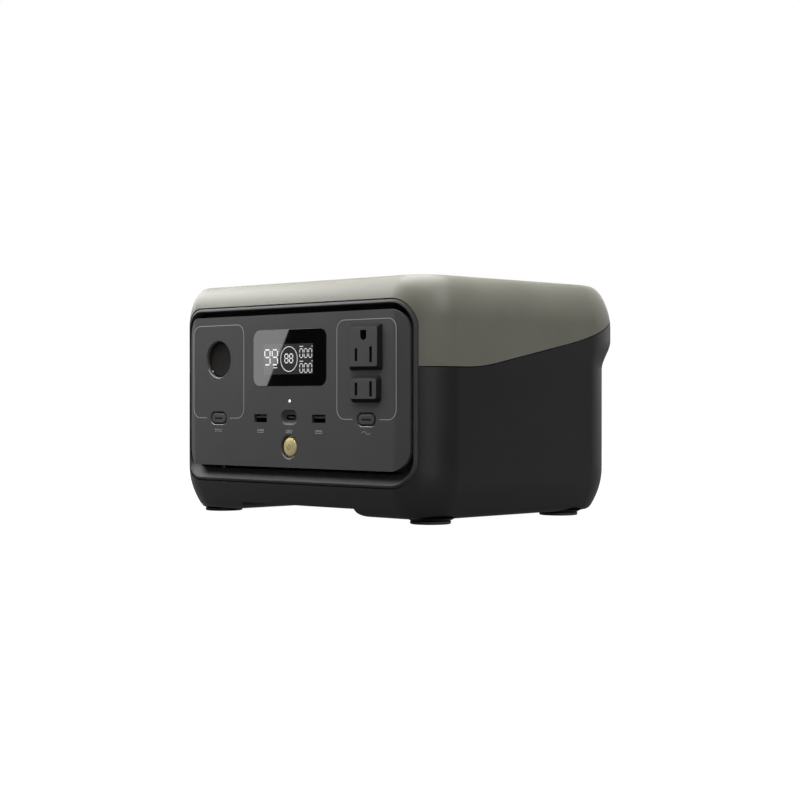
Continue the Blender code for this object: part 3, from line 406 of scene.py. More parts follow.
def box(name, low, high):
    size = Vector(high) - Vector(low)
    middle = (Vector(high) + Vector(low)) / 2
    work = bmesh.new()
    bmesh.ops.create_cube(work, size=1, matrix=Matrix.Translation(middle) @ Matrix.Diagonal((*size, 1)))
    return from_bmesh(work, name)


AXES = {
    "X": Matrix(((0, 0, 1), (1, 0, 0), (0, 1, 0))).to_4x4(),
    "Y": Matrix(((1, 0, 0), (0, 0, -1), (0, 1, 0))).to_4x4(),
    "Z": Matrix.Identity(4),
}


def rod(name, start, end, axis, radius, end_radius=None, sides=32):
    index = "XYZ".index(axis)
    low = Vector(start)
    long = end - low[index]
    middle = low.copy()
    middle[index] += long / 2
    turn = AXES[axis]
    if (turn @ Vector((0, 0, 1)))[index] * long < 0:
        turn = turn @ Matrix.Rotation(math.pi, 4, "X")
    work = bmesh.new()
    bmesh.ops.create_cone(work, cap_ends=True, segments=sides, radius1=radius, radius2=end_radius or radius,
                          depth=abs(long), matrix=Matrix.Translation(middle) @ turn)
    return from_bmesh(work, name)


def prism(name, outline, axis, low, high):
    """A flat outline drawn across an axis, and filled from low to high along it."""
    data = bpy.data.curves.new(name, "CURVE")
    data.dimensions = "2D"
    data.fill_mode = "BOTH"
    data.extrude = (high - low) / 2
    spline = data.splines.new("POLY")
    spline.points.add(len(outline) - 1)
    for point, (u, v) in zip(spline.points, outline):
        point.co = (u, v, 0, 1)
    spline.use_cyclic_u = True
    obj = piece_of(data, name)
    middle = Vector((0, 0, 0))
    middle["XYZ".index(axis)] = (low + high) / 2
    obj.matrix_world = Matrix.Translation(middle) @ AXES[axis]
    return frozen(obj)


def turned(name, profile, place, steps=64):
    mesh = bpy.data.meshes.new(name)
    mesh.from_pydata([(r, 0, z) for r, z in profile], [(i, i + 1) for i in range(len(profile) - 1)], [])
    obj = piece_of(mesh, name)
    obj.matrix_world = place
    screw = obj.modifiers.new("turn", "SCREW")
    screw.steps = screw.render_steps = steps
    screw.use_merge_vertices = True
    screw.merge_threshold = 1e-6
    return frozen(obj)


def facing_front(x, y, z):
    """The place of a turned piece whose profile runs back from the front."""
    return Matrix.Translation((x, y, z)) @ Matrix.Rotation(math.radians(-90), 4, "X")


def loft(name, rings, ends=True):
    work = bmesh.new()
    rows = [[work.verts.new(point) for point in ring] for ring in rings]
    pairs = list(zip(rows, rows[1:]))
    if not ends:
        pairs.append((rows[-1], rows[0]))
    for lower, upper in pairs:
        for i in range(len(lower)):
            j = (i + 1) % len(lower)
            work.faces.new((lower[i], lower[j], upper[j], upper[i]))
    if ends:
        work.faces.new(rows[0])
        work.faces.new(rows[-1])
    return from_bmesh(work, name)


def rounded(half_u, low, high, radius, steps=12, centre_u=0.0):
    """A rounded rectangle, anticlockwise from its lower right corner."""
    points = []
    corners = ((1, low + radius, -90), (1, high - radius, 0), (-1, high - radius, 90), (-1, low + radius, 180))
    for side, v, first in corners:
        for i in range(steps + 1):
            angle = math.radians(first + 90 * i / steps)
            u = centre_u + side * (half_u - radius)
            points.append((u + radius * math.cos(angle), v + radius * math.sin(angle)))
    return points


def stadium(half_u, half_v, centre_u, centre_v, steps=12):
    radius = min(half_u, half_v) * 0.999
    return rounded(half_u, centre_v - half_v, centre_v + half_v, radius, steps, centre_u)


def quarter(steps):
    """The angles of a quarter turn."""
    return [math.radians(90 * i / steps) for i in range(steps + 1)]


def circle(radius, centre_u, centre_v, sides=64):
    angles = [math.tau * i / sides for i in range(sides)]
    return [(centre_u + radius * math.cos(a), centre_v + radius * math.sin(a)) for a in angles]


def smooth(t):
    t = min(max(t, 0.0), 1.0)
    return t * t * (3 - 2 * t)


def ribbon(name, path, wide, front, back, loop=False):
    """A flat printed line that follows a path in X and Z, from front to back in Y."""
    count = len(path)
    sides = []
    for i, (u, v) in enumerate(path):
        before = path[i - 1] if i or loop else path[i]
        after = path[(i + 1) % count] if i < count - 1 or loop else path[i]
        along = Vector((after[0] - before[0], after[1] - before[1])).normalized()
        across = Vector((-along.y, along.x)) * wide / 2
        sides.append(((u + across.x, v + across.y), (u - across.x, v - across.y)))
    work = bmesh.new()
    rows = []
    for (u1, v1), (u2, v2) in sides:
        rows.append([work.verts.new(p) for p in ((u1, front, v1), (u2, front, v2), (u2, back, v2), (u1, back, v1))])
    pairs = list(zip(rows, rows[1:]))
    if loop:
        pairs.append((rows[-1], rows[0]))
    for a, b in pairs:
        for i in range(4):
            j = (i + 1) % 4
            work.faces.new((a[i], a[j], b[j], b[i]))
    if not loop:
        work.faces.new(rows[0])
        work.faces.new(rows[-1])
    return from_bmesh(work, name)


def finish_piece(obj, look, body="housing", nodes=(), sharp=32, bevel=0.0):
    """Gives a piece its material and its body, and shades it smooth."""
    if bevel:
        edge = obj.modifiers.new("edges", "BEVEL")
        edge.width = bevel
        edge.segments = 3
        edge.limit_method = "ANGLE"
        edge.angle_limit = math.radians(35)
        edge.harden_normals = False
        obj = frozen(obj, outwards=False)
    obj.data.materials.clear()
    obj.data.materials.append(look)
    obj.data.shade_smooth()
    obj.data.set_sharp_from_angle(angle=math.radians(sharp))
    flats = obj.modifiers.new("flats", "WEIGHTED_NORMAL")
    flats.mode = "FACE_AREA"
    flats.weight = 90
    flats.keep_sharp = True
    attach(obj, body)
    if nodes:
        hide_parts(*nodes)
    return obj


# ---------------------------------------------------------------- housing
def quarter_inset(radius, up):
    share = max(1 - up / radius, 0.0)
    return radius * (1 - math.sqrt(1 - share * share))


def edge_inset(z):
    up = max(z - BASE_Z, 0.0)
    if up < LOWER_EDGE["rise"]:
        drawn_in = LOWER_EDGE["inset"] * (1 - up / LOWER_EDGE["rise"]) ** LOWER_EDGE["curve"]
        return drawn_in + quarter_inset(LOWER_EDGE["round"], up)
    share = max((z - HEIGHT + UPPER_EDGE["rise"]) / UPPER_EDGE["rise"], 0.0)
    return UPPER_EDGE["inset"] * (1 - math.sqrt(max(1 - share * share, 0.0)))


def front_surface(x, z):
    inset = edge_inset(z)
    radius = FRONT_CORNER - inset
    over = min(max(abs(x) - (WIDTH / 2 - FRONT_CORNER), 0.0), radius)
    return FRONT_Y + inset + radius - math.sqrt(radius * radius - over * over)


def plan_ring(z, inset, steps):
    grown = smooth((z - HANDLE_STARTS_Z) / (HANDLE_FULL_Z - HANDLE_STARTS_Z))
    lean = REAR_LEAN * smooth((z - LEAN_STARTS_Z) / (HEIGHT - LEAN_STARTS_Z))
    rear = REAR_Y + grown * (HANDLE_Y - REAR_Y) - lean - inset
    rear_radius = REAR_CORNER + grown * (HANDLE_CORNER - REAR_CORNER) - inset
    radius = FRONT_CORNER - inset
    half = WIDTH / 2 - inset
    front = FRONT_Y + inset
    ring = []
    corners = ((1, front + radius, radius, -90), (1, rear - rear_radius, rear_radius, 0),
               (-1, rear - rear_radius, rear_radius, 90), (-1, front + radius, radius, 180))
    for side, y, r, first in corners:
        for i in range(steps + 1):
            angle = math.radians(first + 90 * i / steps)
            ring.append((side * (half - r) + r * math.cos(angle), y + r * math.sin(angle), z))
    return ring


def housing_form(name, offset, detail):
    corner, edge = detail["corner"], detail["edge"]
    rings = []
    shares = [(i / edge) ** 1.7 for i in range(edge + 1)]
    shares = sorted(set(shares) | {LOWER_EDGE["round"] / LOWER_EDGE["rise"] * (k / 4) ** 2 for k in range(1, 5)})
    for share in shares:
        z = BASE_Z + offset + (LOWER_EDGE["rise"] - offset) * share
        rings.append(plan_ring(z, offset + edge_inset(BASE_Z + LOWER_EDGE["rise"] * share), corner))
    rise = HANDLE_FULL_Z - HANDLE_STARTS_Z
    rings += [plan_ring(HANDLE_STARTS_Z + rise * i / edge, offset, corner) for i in range(edge + 1)]
    for angle in quarter(edge):
        z = HEIGHT - UPPER_EDGE["rise"] + (UPPER_EDGE["rise"] - offset) * math.sin(angle)
        rings.append(plan_ring(z, offset + (UPPER_EDGE["inset"] - offset) * (1 - math.cos(angle)), corner))
    return loft(name, rings)


def handle_space(name, extra, steps):
    y, half_y = SLOT["y"], SLOT["half_y"] + extra
    half_x = SLOT["half_x"] + extra
    slot = prism(name, rounded(half_x, y - half_y, y + half_y, half_y * 0.999, steps), "Z",
                 SCOOP["z"], HEIGHT + OVERSHOOT)
    ball = bmesh.new()
    bmesh.ops.create_uvsphere(ball, u_segments=steps * 3 + 2, v_segments=steps * 2 + 1,
                              radius=SCOOP["radius"] + extra, matrix=Matrix.Rotation(math.radians(90), 4, "Y"))
    for vert in ball.verts:
        vert.co.x += math.copysign(SCOOP["half_x"], vert.co.x)
    bmesh.ops.translate(ball, verts=ball.verts, vec=(0, SCOOP["y"], SCOOP["z"]))
    return joined(slot, from_bmesh(ball, "scoop"))


def channel_space(name, extra):
    """The channel's ends round over into the skids on which the feet sit."""
    top, bottom, high = CHANNEL["half_top"] + extra, CHANNEL["half_bottom"] + extra, CHANNEL["high"]
    side = []
    for angle in quarter(CHANNEL_STEPS):
        side.append((bottom - (bottom - top) * math.cos(angle), BASE_Z + extra + high * (1 - math.sin(angle))))
    side.append((bottom + OVERSHOOT, BASE_Z - OVERSHOOT))
    outline = [(-x, z) for x, z in reversed(side)] + side
    return prism(name, outline, "Y", FRONT_Y - OVERSHOOT, REAR_Y + OVERSHOOT)


def slot_rim(name):
    """A flared collar that rounds over the finger slot's upper edge when it is cut away."""
    rings = []
    round_over = 0.0030
    for angle in quarter(6):
        grow = round_over * (1 - math.cos(angle))
        z = HEIGHT - round_over + round_over * math.sin(angle)
        half_y = SLOT["half_y"] + grow
        outline = rounded(SLOT["half_x"] + grow, SLOT["y"] - half_y, SLOT["y"] + half_y, half_y * 0.999, 14)
        rings.append([(x, y, z) for x, y in outline])
    rings.append([(x, y, HEIGHT + OVERSHOOT) for x, y, _ in rings[-1]])
    return loft(name, rings)


def housing_shell():
    solid = cut(housing_form("shell", 0.0, FINE), handle_space("space", 0.0, 14), channel_space("channel", 0.0),
                slot_rim("rim"))
    inside = cut(housing_form("inside", WALL, COARSE), handle_space("space", WALL * 1.4, 5),
                 channel_space("channel", WALL))
    return cut(solid, inside)


def seam_height(y):
    past = y - SEAM_FLAT_Y
    if past <= 0:
        return SEAM_Z
    if past < SEAM_BEND:
        return SEAM_Z + SEAM_SLOPE * past * past / (2 * SEAM_BEND)
    straight = SEAM_Z + SEAM_SLOPE * (past - SEAM_BEND / 2)
    return straight + SEAM_REAR_CURVE * max(min(y, SEAM_CURVE_ENDS_Y) - SEAM_CURVE_STARTS_Y, 0.0) ** 2


def above_seam(name, drop):
    front, rear = FRONT_Y - OVERSHOOT, HANDLE_Y + OVERSHOOT
    ys = [front] + [SEAM_FLAT_Y + (rear - SEAM_FLAT_Y) * i / SEAM_STEPS for i in range(SEAM_STEPS + 1)]
    outline = [(y, seam_height(y) - drop) for y in ys]
    outline += [(rear, HEIGHT + OVERSHOOT), (front, HEIGHT + OVERSHOOT)]
    return prism(name, outline, "X", -WIDTH, WIDTH)


def opening_outline(size, steps=14):
    return rounded(size["half_x"], size["low"], size["high"], size["radius"], steps)


def front_opening(name):
    return prism(name, opening_outline(OPENING), "Y", FRONT_Y - OVERSHOOT, FRONT_Y + 0.0155)


def shells():
    shell = housing_shell()
    copy = piece_of(shell.data.copy(), "lower")
    cover = combined(shell, above_seam("above", 0.0), "INTERSECT")
    cover = cut(cover, front_opening("opening"))
    cover.name = "top_cover_shell"
    finish_piece(cover, LOOKS["top_grey"], nodes=["top_cover"])
    tub = cut(copy, above_seam("above", SEAM_GAP), front_opening("opening"))
    for x, y in SCREW_PLACES:
        pad = rod("pad", (x, y, FOOT_HIGH), BASE_Z + GAP, "Z", FOOT_RADIUS, end_radius=PAD_RADIUS, sides=64)
        tub = joined(tub, pad)
    panel = rounded(INPUTS["half_x"] + GAP, INPUTS["low"] - GAP, INPUTS["high"] + GAP, INPUTS["radius"], 12,
                    INPUTS["x"])
    tub = cut(tub, prism("input_opening", panel, "Y", REAR_Y - 0.010, REAR_Y + OVERSHOOT))
    for i in range(FAN_SLITS["count"]):
        x = FAN_X + (i - FAN_SLITS["count"] // 2) * FAN_SLITS["pitch"]
        slit = stadium(FAN_SLITS["half_x"], FAN_SLITS["half_z"], x, FAN_Z, 8)
        tub = cut(tub, prism("slit", slit, "Y", REAR_Y - 0.010, REAR_Y + OVERSHOOT))
    tub.name = "lower_shell"
    finish_piece(tub, LOOKS["shell_black"], nodes=["lower_housing"])


# ---------------------------------------------------------------- front
def between(a, b, t):
    return {key: a[key] + (b[key] - a[key]) * t for key in a}


def front_loop(size, depth, shrink=0.0, steps=18):
    """A rounded rectangle with extra points on its straights, laid on the housing's front, then moved back."""
    corner = rounded(size["half_x"] - shrink, size["low"] + shrink, size["high"] - shrink,
                     size["radius"] - shrink, steps)
    path = []
    for i, (x, z) in enumerate(corner):
        path.append((x, z))
        if i % (steps + 1) == steps:
            after = corner[(i + 1) % len(corner)]
            for k in range(1, STRAIGHT_STEPS):
                path.append((x + (after[0] - x) * k / STRAIGHT_STEPS, z + (after[1] - z) * k / STRAIGHT_STEPS))
    return [(x, front_surface(x, z) + depth, z) for x, z in path]


def bezel():
    """Its profile: a rounded outer edge set back in the case, a face that slopes out to a rounded lip, a throat."""
    edge, back, rest = EDGE_ROUND, BEZEL_SET_BACK, 1 - BEZEL_FACE_SHARE
    rings = [front_loop(OPENING, back + edge * (1 - math.sin(a)), BEZEL_GAP + edge * (1 - math.cos(a)))
             for a in quarter(3)]
    for a in quarter(9)[3:]:
        size = between(OPENING, LIP, BEZEL_FACE_SHARE * (1 - math.cos(a)))
        rings.append(front_loop(size, back * (1 - math.sin(a))))
    for a in quarter(4)[1:]:
        size = between(OPENING, LIP, BEZEL_FACE_SHARE + rest * math.sin(a))
        rings.append(front_loop(size, THROAT_ROUND * (1 - math.cos(a))))
    for i in range(1, 11):
        down = (FUNNEL_DEPTH - THROAT_ROUND) * (i / 10) ** 0.8
        rings.append(front_loop(between(LIP, FUNNEL, i / 10), THROAT_ROUND + down))
    rings += [front_loop(FUNNEL, BEZEL_DEPTH, -0.0010), front_loop(OPENING, BEZEL_DEPTH, GAP)]
    ring = loft("bezel_ring", rings, ends=False)
    finish_piece(ring, LOOKS["bezel_grey"], nodes=["front_bezel"], sharp=50)


def panel_section(back):
    bend = math.radians(PANEL_BEND_DEG)
    half = []
    for i in range(13):
        angle = bend * i / 12
        half.append((PANEL_FLAT_X + PANEL_BEND_RADIUS * math.sin(angle), PANEL_BEND_RADIUS * (1 - math.cos(angle))))
    x, y = half[-1]
    end = PANEL["half_x"] + 0.005
    half.append((end, y + (end - x) * math.tan(bend)))
    front = [(-x, FRONT_Y + y) for x, y in reversed(half)] + [(x, FRONT_Y + y) for x, y in half]
    rear = [(x, y + back) for x, y in reversed(front)]
    return front + rear


def sloped_hole(name, outline, wide, deep, steps=4):
    """A cutter for a dished rim: outline takes an inset, and the rim narrows to inset 0 as it goes in."""
    rings = [[(x, FRONT_Y - OVERSHOOT, z) for x, z in outline(-wide)]]
    for angle in quarter(steps):
        rings.append([(x, FRONT_Y + deep * math.sin(angle), z) for x, z in outline(-wide * math.cos(angle))])
    return loft(name, rings)


def dished_rims():
    """The rims round the buttons, the car socket and the USB-C port."""
    def pill(side):
        return lambda inset: stadium(PILL["half_x"] + BUTTON_GAP - inset, PILL["half_z"] + BUTTON_GAP - inset,
                                     side * SIDE_X, PILL["z"], 16)

    def round_at(radius, x, z):
        return lambda inset: circle(radius - inset, x, z, 96)

    def port(inset):
        grow = PORT_DISH["grow"] - inset
        return stadium(USB_C["half_x"] + grow, USB_C["half_z"] + grow, 0.0, USB_C["z"], 16)

    small = (pill(-1), pill(1), round_at(POWER["radius"] + BUTTON_GAP, 0.0, POWER["z"]),
             round_at(CAR_HOLE_RADIUS, -SIDE_X, CAR_Z))
    return [*(sloped_hole("rim", outline, RIM, RIM) for outline in small),
            sloped_hole("rim", port, PORT_DISH["wide"], PORT_DISH["deep"], 6)]


def panel():
    plate = prism("panel_plate", panel_section(PANEL_THICK), "Z", 0.0, HEIGHT)
    plate = combined(plate, prism("trim", opening_outline(PANEL), "Y", FAR_AHEAD, 0.0), "INTERSECT")
    holes = [rounded(WINDOW["half_x"] + GAP / 2, WINDOW["low"] - GAP / 2, WINDOW["high"] + GAP / 2, WINDOW["radius"]),
             circle(CAR_HOLE_RADIUS, -SIDE_X, CAR_Z, 96)]
    for socket in (GROUNDED, TWO_PIN):
        half_x, half_z = socket["half_x"] - 0.0012, socket["half_z"] - 0.0012
        holes.append(rounded(half_x, socket["z"] - half_z, socket["z"] + half_z, 0.001, 2, SIDE_X))
    for side in (-1, 1):
        holes.append(rounded(USB_A["half_x"], USB_A["z"] - USB_A["half_z"], USB_A["z"] + USB_A["half_z"],
                             0.0004, 3, side * USB_A["x"]))
        holes.append(stadium(PILL["half_x"] + BUTTON_GAP, PILL["half_z"] + BUTTON_GAP, side * SIDE_X, PILL["z"]))
    holes.append(stadium(USB_C["half_x"], USB_C["half_z"], 0.0, USB_C["z"]))
    holes.append(circle(POWER["radius"] + BUTTON_GAP, 0.0, POWER["z"]))
    holes.append(circle(LAMP["radius"] + GAP / 2, 0.0, LAMP["z"], 24))
    for outline in holes:
        plate = cut(plate, prism("hole", outline, "Y", FRONT_Y - OVERSHOOT, FRONT_Y + 0.010))
    plate = cut(plate, *dished_rims())
    plate = finish_piece(plate, LOOKS["panel_grey"], nodes=["front_panel"], bevel=0.00012)
    plate.data.materials.append(EXTRA["rim"])
    for face in plate.data.polygons:
        at, toward = face.center, face.normal
        in_port = abs(at.x) < 0.010 and at.z > 0.055
        # the lower part of each small rim, which faces up and forward, is smoother
        if FRONT_Y + 0.00005 < at.y < FRONT_Y + 0.0012 and toward.z > 0.25 and toward.y < -0.1 and not in_port:
            face.material_index = 1


def port_tongues():
    """The tips of the USB ports' tongues, just inside the mouths."""
    parts = [(f"usb_a_{name}", rounded(USB_A["half_x"] - 0.0009, USB_A["z"] + 0.0003, USB_A["z"] + 0.0014, 0.0001, 1,
                                       side * USB_A["x"]), 0.0010) for name, side in (("left", -1), ("right", 1))]
    parts.append(("usb_c", rounded(0.0031, USB_C["z"] - 0.0005, USB_C["z"] + 0.0005, 0.0001, 1), 0.0020))
    for name, outline, inset in parts:
        tip = prism(f"{name}_tongue_tip", outline, "Y", FRONT_Y + inset, FRONT_Y + PANEL_THICK + 0.0020)
        finish_piece(tip, EXTRA["tongue"], bevel=0.0001)


def pillow(name, outline, face, back, edge, steps=5):
    """A plate whose front edge is rounded over. outline takes an inset, and gives points in X and Z."""
    rings = []
    for i in range(steps + 1):
        angle = math.radians(90 * (1 - i / steps))
        inset = edge * (1 - math.cos(angle))
        rings.append([(x, face + edge * (1 - math.sin(angle)), z) for x, z in outline(inset)])
    rings.append([(x, back, z) for x, z in outline(0.0)])
    return loft(name, rings)


def printed(name, paths, wide, look, body="housing", face=FRONT_Y, loop=False):
    lines = [ribbon(name, path, wide, face - PRINT_PROUD, face + 2 * PRINT_PROUD, loop) for path in paths]
    finish_piece(grouped(name, lines), look, body=body)


def side_frames():
    """The thin line round each side's sockets, open where the button sits."""
    size = {"half": 0.0258, "low": 0.0635, "high": 0.1247, "radius": 0.0065, "gap": 0.0118}
    for name, side in (("left", -1), ("right", 1)):
        corner = rounded(size["half"], size["low"], size["high"], size["radius"], 14, side * SIDE_X)
        start = (side * SIDE_X + size["gap"], size["low"])
        end = (side * SIDE_X - size["gap"], size["low"])
        printed(f"panel_line_{name}", [[start, *corner, end]], PRINT_WIDE, EXTRA["print_grey"])


def sine(x, z, half, high, steps=16):
    return [(x - half + 2 * half * i / steps, z + high * math.sin(math.tau * i / steps)) for i in range(steps + 1)]


def pictograms():
    """Plain signs under the controls: direct current, alternating current, and the USB ports' outlines."""
    z, wide = 0.0553, 0.00034
    left = -SIDE_X
    direct = [[(left - 0.0036, z + 0.0006), (left + 0.0036, z + 0.0006)]]
    direct += [[(left - 0.0036 + 0.0027 * i, z - 0.0006), (left - 0.0018 + 0.0027 * i, z - 0.0006)] for i in range(3)]
    printed("sign_direct_current", direct, wide, EXTRA["print_grey"])
    printed("sign_alternating_current", [sine(SIDE_X, z, 0.0036, 0.0009)], wide, EXTRA["print_grey"])
    for name, side in (("left", -1), ("right", 1)):
        x = side * USB_A["x"]
        printed(f"sign_usb_a_{name}", [rounded(0.0029, z - 0.0009, z + 0.0009, 0.0002, 2, x)], wide,
                EXTRA["print_grey"], loop=True)
        printed(f"sign_usb_a_tongue_{name}", [[(x - 0.0020, z + 0.0002), (x + 0.0020, z + 0.0002)]], wide,
                EXTRA["print_grey"])
    printed("sign_usb_c", [stadium(0.0029, 0.0008, 0.0, z, 6)], wide, EXTRA["print_grey"], loop=True)
    printed("sign_usb_c_tongue", [[(-0.0015, z), (0.0015, z)]], wide, EXTRA["print_grey"])


# Which bars of a seven-bar digit are lit: top, upper right, lower right, bottom, lower left, upper left, middle
BARS = {"9": "1111011", "0": "1111110", "8": "1111111"}


def digit(value, x, z, wide, high, thick):
    """A seven-bar digit with its lower left corner at x, z."""
    half = thick / 2
    left, right, low, top, middle = x + half, x + wide - half, z + half, z + high - half, z + high / 2
    trim = thick * 0.62
    bars = (((left + trim, top), (right - trim, top)), ((right, top - trim), (right, middle + trim)),
            ((right, middle - trim), (right, low + trim)), ((left + trim, low), (right - trim, low)),
            ((left, middle - trim), (left, low + trim)), ((left, top - trim), (left, middle + trim)),
            ((left + trim, middle), (right - trim, middle)))
    return [bar for bar, on in zip(bars, BARS[value]) if on == "1"]


def screen_print(name, paths, wide, look, loop=False):
    printed(name, paths, wide, look, face=FRONT_Y - 2 * PRINT_PROUD, loop=loop)


def display():
    def outline(inset):
        return rounded(WINDOW["half_x"] - inset, WINDOW["low"] + inset, WINDOW["high"] - inset,
                       WINDOW["radius"] - inset, 14)
    glass = pillow("window_pane", outline, FRONT_Y - PRINT_PROUD, FRONT_Y + WINDOW["thick"], 0.00018, 3)
    finish_piece(glass, LOOKS["window_glass"], nodes=["display_window"])
    field = prism("display_field", rounded(0.02345, 0.0918, 0.1112, 0.0004, 3, -0.00095), "Y",
                  FRONT_Y - 1.6 * PRINT_PROUD, FRONT_Y)
    finish_piece(field, EXTRA["lcd"])
    big = []
    for x in (-0.0238, -0.0166):
        big += digit("9", x, 0.0975, 0.0062, 0.0107, 0.0011)
    screen_print("screen_time", big, 0.00085, EXTRA["segment"])
    ring = circle(0.0079, 0.0, 0.1015, 72)
    screen_print("screen_ring", [ring], 0.0005, EXTRA["segment_dim"], loop=True)
    small = digit("8", -0.0043, 0.0988, 0.0038, 0.0062, 0.0007) + digit("8", 0.0002, 0.0988, 0.0038, 0.0062, 0.0007)
    screen_print("screen_charge", small, 0.00062, EXTRA["segment"])
    rows = []
    for z in (0.1019, 0.0925):
        for i in range(3):
            rows += digit("0", 0.0098 + i * 0.0042, z, 0.0036, 0.0062, 0.0007)
    screen_print("screen_power", rows, 0.00062, EXTRA["segment_dim"])
    marks = []
    for z in (0.1093, 0.0999):
        marks.append([(0.0100, z), (0.0134, z)])
        marks.append([(0.0212, z), (0.0222, z)])
    marks.append([(-0.0150, 0.0961), (-0.0112, 0.0961)])
    screen_print("screen_marks", marks, 0.00055, EXTRA["segment_dim"])


def lamp():
    """The status light's clear lens, domed at its tip."""
    r = LAMP["radius"] - 0.0004
    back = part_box("status_light")[1][1] - FRONT_Y
    profile = [(r * math.sin(a), 0.0006 - 0.0005 * math.cos(a)) for a in quarter(6)]
    obj = turned("status_lens", profile + [(r, back), (0.0, back)], facing_front(0.0, FRONT_Y, LAMP["z"]), 32)
    finish_piece(obj, LOOKS["status_white"], nodes=["status_light"])


def socket_form(name, socket):
    def section(y, shrink, corner):
        half_x, half_z = socket["half_x"] - shrink, socket["half_z"] - shrink
        outline = rounded(half_x, socket["z"] - half_z, socket["z"] + half_z, corner, 8, SIDE_X)
        return [(x, y, z) for x, z in outline]

    corner = socket["corner"]
    face, back = FRONT_Y - SOCKET_PROUD, FRONT_Y + SOCKET_DEEP
    rings = [section(face, SOCKET_CHAMFER, corner * 0.5), section(FRONT_Y - GAP, 0.0, corner),
             section(FRONT_Y - GAP / 2, 0.0, corner), section(FRONT_Y - GAP / 2, SOCKET_NECK_INSET, 0.001),
             section(back, SOCKET_NECK_INSET, 0.001)]
    return loft(name, rings)


def blade_slot(x, z, high):
    deep = FRONT_Y - SOCKET_PROUD + BLADE_DEEP
    return box("blade", (x - BLADE_WIDTH / 2, FAR_AHEAD, z - high / 2), (x + BLADE_WIDTH / 2, deep, z + high / 2))


def ground_outline():
    half, low = 0.0026, GROUND_HOLE_Z - 0.0006
    arc = [math.radians(180 + 180 * i / 20) for i in range(21)]
    points = [(SIDE_X + half * math.cos(a), low + half * math.sin(a)) for a in arc]
    return points + [(SIDE_X + half, GROUND_HOLE_Z + 0.0031), (SIDE_X - half, GROUND_HOLE_Z + 0.0031)]


def sockets():
    """Mains outlets: a grey face; their chamfers and slots are coloured near-black, which is painted shade."""
    left, right = SIDE_X - BLADE_SPACING / 2, SIDE_X + BLADE_SPACING / 2
    pin = prism("pin", ground_outline(), "Y", FAR_AHEAD, FRONT_Y - SOCKET_PROUD + BLADE_DEEP)
    grounded = cut(socket_form("outlet_grounded", GROUNDED), blade_slot(left, GROUNDED_BLADE_Z, 0.0079),
                   blade_slot(right, GROUNDED_BLADE_Z, 0.0095), pin)
    two_pin = cut(socket_form("outlet_two_pin", TWO_PIN), blade_slot(left, TWO_PIN["z"], 0.0077),
                  blade_slot(right, TWO_PIN["z"], 0.0092))
    for obj, node in ((grounded, "ac_socket_grounded"), (two_pin, "ac_socket_two_pin")):
        obj = finish_piece(obj, LOOKS["socket_grey"], nodes=[node], bevel=0.00018)
        obj.data.materials.append(EXTRA["socket_painted_shade"])
        # every face behind the outlet's front face (chamfers, slots, neck) gets the near-black painted shade
        for face in obj.data.polygons:
            if face.center.y > FRONT_Y - SOCKET_PROUD + 0.00012:
                face.material_index = 1


def plug():
    """The rubber plug of the car socket: a shallow dish with a rounded rim, on a hollow skirt."""
    face, disc, skirt, front, deep = 0.0022, 0.0115, 0.0101, 0.0043, 0.0120
    profile = [(0.0, face + 0.0004), (disc * 0.6, face + 0.00035), (disc - 0.0016, face + 0.0001)]
    for angle in quarter(6):
        profile.append((disc - 0.0008 + 0.0008 * math.sin(angle), face + 0.0008 - 0.0008 * math.cos(angle)))
    profile += [(disc, front), (skirt, front), (skirt, deep - 0.0006), (skirt - 0.0006, deep), (skirt - 0.0020, deep),
                (skirt - 0.0020, front + 0.0004), (0.0, front + 0.0004)]
    obj = turned("socket_plug_rubber", profile, facing_front(-SIDE_X, FRONT_Y, CAR_Z), 96)
    finish_piece(obj, LOOKS["plug_rubber"], body="socket_plug", nodes=["car_socket_plug"])


